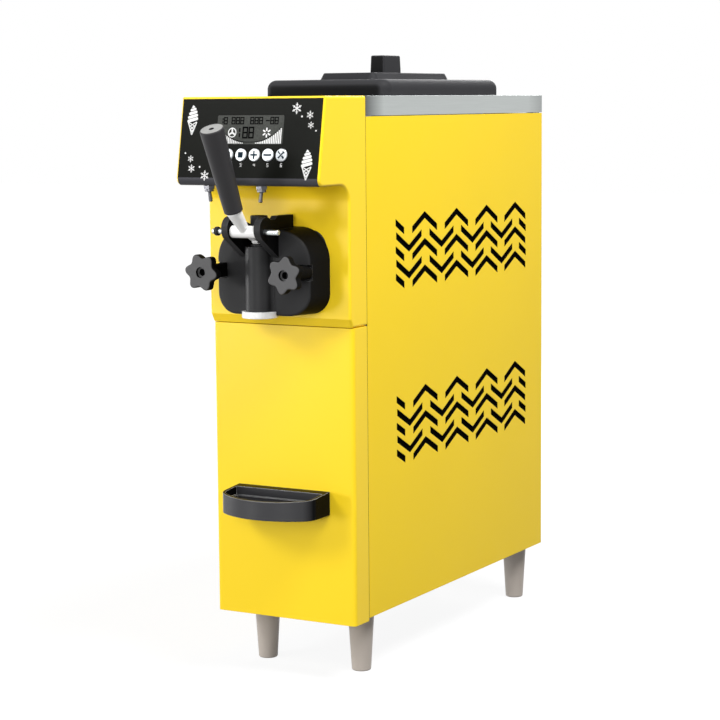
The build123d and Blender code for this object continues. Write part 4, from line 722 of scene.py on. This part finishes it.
def block_black(deep, near):
    """Black moulding with painted shade: darker on the faces that don't look to the front and towards its back,
    between two places along Y. Its edges are paler, partly wear and partly a painted highlight.
    """
    material, tree = new_material("block_black")
    # painted shade towards the back of the block
    raised = ramp(tree, place_along(tree, "Y"), deep, near)
    face = two_colours(tree, raised, darker(BLOCK, 0.55), BLOCK)
    # painted shade on the faces that don't look to the front
    ahead = facing(tree, AHEAD, start=0.15, end=0.6)
    even = two_colours(tree, ahead, darker(BLOCK, 0.12), face)
    shade(
        tree,
        # edges paler: partly wear, partly a painted highlight
        Base_Color=two_colours(tree, edge_share(tree), even, darker(BLOCK, 3.0)),
        Roughness=uneven(tree, scale=35.0, low=0.36, high=0.46),
        Normal=grained(tree, scale=2200.0, strength=0.08, distance=0.0003),
        Specular_IOR_Level=ramp(tree, ahead, low=0.02, high=0.1),
    )
    return material


def grip_rubber(axis):
    """Dark grip whose end face is painted paler, a painted sheen."""
    material, tree = new_material("dark_grip")
    skin = mottled(tree, GRIP, scale=25.0, share=0.8)
    end = mottled(tree, GRIP_END_SHEEN, scale=120.0, share=0.75)
    shade(
        tree,
        Base_Color=two_colours(tree, facing(tree, axis, start=0.9, end=0.96), skin, end),
        Roughness=uneven(tree, scale=35.0, low=0.42, high=0.54),
        Normal=grained(tree, scale=2400.0, strength=0.16, distance=0.0003),
        Specular_IOR_Level=0.22,
    )
    return material


def fascia_black(lip_z):
    """Black panel whose rolled lower edge, under the given height, is painted greyer as a painted sheen."""
    material, tree = new_material("fascia_black")
    lip = calc(tree, "LESS_THAN", place_along(tree, "Z"), lip_z)
    face = mottled(tree, FASCIA, scale=25.0, share=0.8)
    roll = mottled(tree, FASCIA_ROLL_SHEEN, scale=60.0, share=0.85)
    shade(
        tree,
        Base_Color=two_colours(tree, lip, face, roll),
        Roughness=uneven(tree, scale=30.0, low=0.28, high=0.36),
        Normal=grained(tree, scale=1500.0, strength=0.02, distance=0.0003),
        Specular_IOR_Level=0.045,
    )
    return material


def deck_steel(front, back):
    """Steel brushed along the deck, with painted shade: darker on top and towards both ends."""
    material, tree = new_material("deck_steel")
    lines = brush_lines(tree)
    share = ramp(tree, place_along(tree, "Y"), front, back, low=-1.0, high=1.0)
    near = ramp(tree, share, -DECK_END, -1.0)
    far = ramp(tree, share, DECK_END, 1.0, high=DECK_FAR_DARK)
    lit = two_colours(tree, lines, STEEL, darker(STEEL, 0.86))
    shaded = two_colours(tree, lines, darker(STEEL, 0.26), darker(STEEL, 0.2))
    band = two_colours(tree, calc(tree, "ADD", near, far), lit, shaded)
    # painted shade on the top face
    upward = facing(tree, UP, start=0.9, end=0.98)
    shade(
        tree,
        Base_Color=two_colours(tree, upward, band, darker(STEEL, 0.6)),
        Metallic=1.0,
        Roughness=ramp(tree, lines, low=0.26, high=0.4),
        Normal=bump(tree, lines, strength=0.1, distance=0.0002),
    )
    return material


def shade_gauze():
    """Black woven gauze, a guessed dust screen that also stands in as painted shade behind the vents."""
    material, tree = new_material("shade_gauze")
    shade(
        tree,
        Base_Color=two_colours(tree, bricks(tree, scale=260.0), MESH_DARK, MESH_PALE),
        Roughness=uneven(tree, scale=80.0, low=0.8, high=0.95),
        Specular_IOR_Level=0.0,
    )
    return material


def bare_metal(name, tone, low, high):
    """Polished or cast metal with cloudy patches, its roughness between low and high."""
    material, tree = new_material(name)
    clouds = noise(tree, scale=45.0)
    shade(
        tree,
        Base_Color=two_colours(tree, clouds, tone, darker(tone, 0.85)),
        Metallic=1.0,
        Roughness=ramp(tree, clouds, low=low, high=high),
        Normal=grained(tree, scale=900.0, strength=0.05, distance=0.0002),
    )
    return material


def button_silver():
    """Silvery button that turns dark at its rim."""
    material, tree = new_material("button_silver")
    clouds = noise(tree, scale=45.0)
    face = two_colours(tree, clouds, BUTTON, darker(BUTTON, 0.85))
    shade(
        tree,
        Base_Color=two_colours(tree, edge_share(tree), face, darker(BUTTON, 0.04)),
        Metallic=0.6,
        Roughness=ramp(tree, clouds, low=0.28, high=0.36),
        Normal=grained(tree, scale=900.0, strength=0.05, distance=0.0002),
    )
    return material


def display_glass():
    """Grey display with a fine grain."""
    material, tree = new_material("display_glass")
    grain = noise(tree, scale=500.0, detail=2.0)
    shade(
        tree,
        Base_Color=two_colours(tree, grain, DISPLAY_DARK, DISPLAY_PALE),
        Roughness=uneven(tree, scale=30.0, low=0.22, high=0.3),
        Specular_IOR_Level=0.08,
    )
    return material


def circuit_board():
    """Green board with lighter tracks."""
    material, tree = new_material("circuit_board")
    shade(
        tree,
        Base_Color=two_colours(tree, bricks(tree, scale=120.0), BOARD, TRACKS),
        Roughness=uneven(tree, scale=60.0, low=0.35, high=0.5),
    )
    return material


def finned_metal():
    """Block of thin upright fins, drawn as bands: the dark ones between the fins are painted shade."""
    material, tree = new_material("condenser_fins")
    fins = add(tree, "ShaderNodeTexWave", {"Vector": object_place(tree), "Scale": 120.0}, bands_direction="X")
    rows = fins.outputs["Fac"]
    shade(
        tree,
        Base_Color=two_colours(tree, rows, FIN_GAP_SHADE, ALUMINIUM),
        Metallic=0.9,
        Roughness=uneven(tree, scale=60.0, low=0.35, high=0.5),
        Normal=bump(tree, rows, strength=0.6, distance=0.001),
    )
    return material


def print_ink(name, tone):
    """Matt screen-printed ink with a faint unevenness."""
    material, tree = new_material(name)
    shade(
        tree,
        Base_Color=mottled(tree, tone, scale=300.0, share=0.9),
        Roughness=uneven(tree, scale=200.0, low=0.5, high=0.65),
        Specular_IOR_Level=0.0,
    )
    return material


def grip_axis():
    """Way along the grip to its free end."""
    points = sorted((vertex.co for vertex in NODES["lever_grip"].data.vertices), key=lambda point: point.z)
    count = len(points) // GRIP_TENTH
    low = sum(points[:count], Vector()) / count
    high = sum(points[-count:], Vector()) / count
    return (high - low).normalized()


def black_gloss():
    # Drip tray: faces that don't look to the front are painted near black as painted shade, and its edges get a
    # strong painted highlight.
    return plastic(
        "black_gloss", GLOSS_BLACK, rough=(0.22, 0.3), grain=1500.0, depth=0.01,
        shine=0.3, sides=0.08, wear_and_sheen=0.5,
    )


def lid_black():
    # Lid: faces that look straight to the front keep the dark tone as painted shade, and the top and side faces
    # are five times paler as painted light.
    return plastic(
        "lid_black", LID, rough=(0.5, 0.6), grain=2200.0, depth=0.06,
        shine=0.06, sides=5.0, turn=(0.86, 0.98),
    )


def knob_grey():
    # Knobs: faces that don't look to the front are painted near black as painted shade.
    return plastic("knob_grey", KNOB, rough=(0.4, 0.52), grain=2400.0, depth=0.16, shine=0.18, sides=0.06)


def black_satin():
    return plastic("black_satin", SATIN_BLACK, rough=(0.32, 0.42), grain=2200.0, depth=0.08, shine=0.15)


def leg_grey():
    return plastic("leg_grey", LEG, rough=(0.32, 0.44), grain=1500.0, depth=0.05, shine=0.3)


def materials_by_slot():
    """One material for each slot of the record."""
    panel_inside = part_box("side_panel_right")[1].x - PAINT_DEPTH
    return {
        "yellow_paint": yellow_paint(panel_inside),
        "yellow_cover": yellow_cover(),
        "brushed_steel": brushed_steel(),
        "galvanised_sheet": galvanised(),
        "black_gloss": black_gloss(),
        "black_satin": black_satin(),
        "white_plastic": plastic("white_plastic", PLASTIC_WHITE, rough=(0.26, 0.36), grain=900.0, depth=0.03),
        "leg_grey": leg_grey(),
        "dark_grip": grip_rubber(grip_axis()),
        "display_glass": display_glass(),
        "button_silver": button_silver(),
        "switch_metal": bare_metal("switch_metal", SWITCH_METAL, low=0.28, high=0.38),
        "circuit_board": circuit_board(),
        "seal_rubber": plastic("seal_rubber", RUBBER, rough=(0.6, 0.75), grain=800.0, depth=0.1),
        "foam": plastic("foam", RUBBER, rough=(0.8, 0.95), grain=500.0, depth=0.4),
        "machine_steel": bare_metal("machine_steel", MACHINE_STEEL, low=0.25, high=0.4),
        "cast_aluminium": bare_metal("cast_aluminium", ALUMINIUM, low=0.4, high=0.55),
        "black_enamel": plastic("black_enamel", ENAMEL, rough=(0.3, 0.4), grain=400.0, depth=0.05),
        "copper": bare_metal("copper", COPPER, low=0.25, high=0.4),
    }


def materials_by_node():
    """Pieces that look different from the rest of their slot."""
    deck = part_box("top_deck")
    lip_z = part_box("control_fascia")[0].z + ROLL_H
    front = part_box("dispenser_body")[0].y
    lid = lid_black()
    block = block_black(front + BLOCK_DEEP, front + BLOCK_NEAR)
    knob = knob_grey()
    return {
        "control_fascia": fascia_black(lip_z),
        "top_deck": deck_steel(deck[0].y, deck[1].y),
        "condenser": finned_metal(),
        "freezing_cylinder": bare_metal("cylinder_steel", CYLINDER_STEEL, low=0.4, high=0.55),
        "dispenser_body": block,
        "plunger": block,
        "lid_cover": lid,
        "lid_handle": lid,
        "knob_left": knob,
        "knob_right": knob,
    }


def dress_solids():
    """Gives each solid its own material, or that of its slot."""
    by_slot = materials_by_slot()
    by_node = materials_by_node()
    for entry in RECORD["subparts"]:
        node = entry["node"]
        solid = NODES[node]
        solid.data.materials.clear()
        solid.data.materials.append(by_node.get(node, by_slot[entry["material_slot"]]))


# Gauze behind the vents and crosses in the screws, both dark as painted shade

def plate(mesh, low, high):
    """Closed box between two corners."""
    corners = ((low[1], low[2]), (high[1], low[2]), (high[1], high[2]), (low[1], high[2]))
    rings = [[(x, y, z) for y, z in corners] for x in (low[0], high[0])]
    prism(mesh, *rings)


def vent_screens(material):
    """Black gauze just inside each side panel, behind both groups of vents, as painted shade of the inside."""
    for side, panel in ((-1, "side_panel_left"), (1, "side_panel_right")):
        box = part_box(panel)
        inner = min(abs(box[0].x), abs(box[1].x)) - SCREEN_GAP
        across = sorted((side * inner, side * (inner - SCREEN_T)))
        mesh = bmesh.new()
        for low, high in SCREEN_ROWS:
            plate(mesh, (across[0], box[0].y + SCREEN_FRONT, low), (across[1], box[1].y - SCREEN_BACK, high))
        finish_piece(panel.replace("side_panel", "vent_screen"), mesh, material, "cabinet")


def screw_places():
    """Middles of the screw heads on the rear panel."""
    points = [vertex.co for vertex in NODES["rear_screws"].data.vertices]
    back = max(point.y for point in points)
    heads = []
    for point in points:
        if point.y > back - SCREW_FLAT:
            near = next((head for head in heads if (head[0] - point).length < SCREW_APART), None)
            if near:
                near.append(point)
            else:
                heads.append([point])
    return [sum(head, Vector()) / len(head) for head in heads]


def screw_crosses(material):
    """Dark cross on the head of each rear screw, as painted shade where its cross recess would be."""
    mesh = bmesh.new()
    for place in screw_places():
        for half_x, half_z in ((CROSS_L, CROSS_W), (CROSS_W, CROSS_L)):
            low = place - Vector((half_x, INK_SUNK, half_z))
            high = place + Vector((half_x, INK_PROUD, half_z))
            plate(mesh, low, high)
    finish_piece("rear_screw_crosses", mesh, material, "cabinet")


# Camera, floor and light

def add_camera():
    yaw = radians(CAMERA_YAW)
    pitch = radians(CAMERA_PITCH)
    roll = radians(CAMERA_ROLL)
    ahead = Vector((-sin(yaw) * cos(pitch), cos(yaw) * cos(pitch), -sin(pitch)))
    level = Vector((cos(yaw), sin(yaw), 0))
    upright = level.cross(ahead)
    right = level * cos(roll) + upright * sin(roll)
    up = upright * cos(roll) - level * sin(roll)
    data = bpy.data.cameras.new("camera")
    data.lens = CAMERA_LENS
    data.sensor_width = SENSOR
    camera = bpy.data.objects.new("camera", data)
    turn = Matrix((right, up, -ahead)).transposed().to_4x4()
    camera.matrix_world = Matrix.Translation(CAMERA_PLACE) @ turn
    bpy.context.scene.collection.objects.link(camera)
    bpy.context.scene.camera = camera


def seen_directly(tree):
    """1 for rays that show the background: straight from the camera, mirrored or through glass."""
    path = add(tree, "ShaderNodeLightPath", {}).outputs
    first = calc(tree, "MAXIMUM", path["Is Camera Ray"], path["Is Glossy Ray"])
    return calc(tree, "MAXIMUM", first, path["Is Transmission Ray"])


def floor_white():
    """Grey for the light that it throws back, and near white to look at."""
    material, tree = new_material("floor")
    place = add(tree, "ShaderNodeNewGeometry", {}).outputs["Position"]
    distance = add(tree, "ShaderNodeVectorMath", {0: place}, operation="LENGTH").outputs["Value"]
    grown = ramp(tree, distance, GLOW_NEAR, GLOW_FAR, low=FLOOR_GLOW)
    shade(
        tree,
        Base_Color=colour(FLOOR_TONE, FLOOR_TONE, FLOOR_TONE),
        Roughness=FLOOR_ROUGH,
        Specular_IOR_Level=0.0,
        Emission_Color=WHITE,
        Emission_Strength=calc(tree, "MULTIPLY", seen_directly(tree), grown),
    )
    return material


def add_floor():
    mesh = bmesh.new()
    corners = [(-1, -1), (1, -1), (1, 1), (-1, 1)]
    mesh.faces.new([mesh.verts.new((x * FLOOR_HALF, y * FLOOR_HALF, 0)) for x, y in corners])
    data = bpy.data.meshes.new("floor")
    mesh.to_mesh(data)
    mesh.free()
    data.materials.append(floor_white())
    floor = bpy.data.objects.new("floor", data)
    bpy.context.scene.collection.objects.link(floor)


def add_world():
    """White to look at, and a weaker even light for the object."""
    world = bpy.data.worlds.new("world")
    world.use_nodes = True
    tree = world.node_tree
    strength = ramp(tree, seen_directly(tree), low=WORLD_LIGHT)
    sky = tree.nodes["Background"]
    sky.inputs["Color"].default_value = WHITE
    tree.links.new(strength, sky.inputs["Strength"])
    bpy.context.scene.world = world


def add_lamp(name, place, target, size, power):
    data = bpy.data.lights.new(name, "AREA")
    data.shape = "DISK"
    data.size = size
    data.energy = power
    lamp = bpy.data.objects.new(name, data)
    lamp.location = place
    lamp.rotation_mode = "QUATERNION"
    lamp.rotation_quaternion = (target - Vector(place)).to_track_quat("-Z", "Y")
    bpy.context.scene.collection.objects.link(lamp)


def add_lamps():
    middle = (CAD_BOX[0] + CAD_BOX[1]) / 2
    for name, place, size, power in LAMPS:
        add_lamp(name, place, middle, size, power)


def main():
    dress_solids()
    pale = print_ink("print_white", INK_WHITE)
    dark = print_ink("print_dark", INK_DARK)
    sign = print_ink("sign_dark", SIGN_INK)
    window = front_of("display_window")
    display_figures(window, dark)
    display_signs(window, pale)
    panel_pictures(window, pale)
    button_prints(sign, pale, window)
    # gauze as painted shade behind the vents
    vent_screens(shade_gauze())
    # dark print ink, here as painted shade in the screw recesses
    screw_crosses(dark)
    add_floor()
    add_world()
    add_lamps()
    add_camera()
    bpy.context.scene.view_settings.view_transform = "Standard"


main()
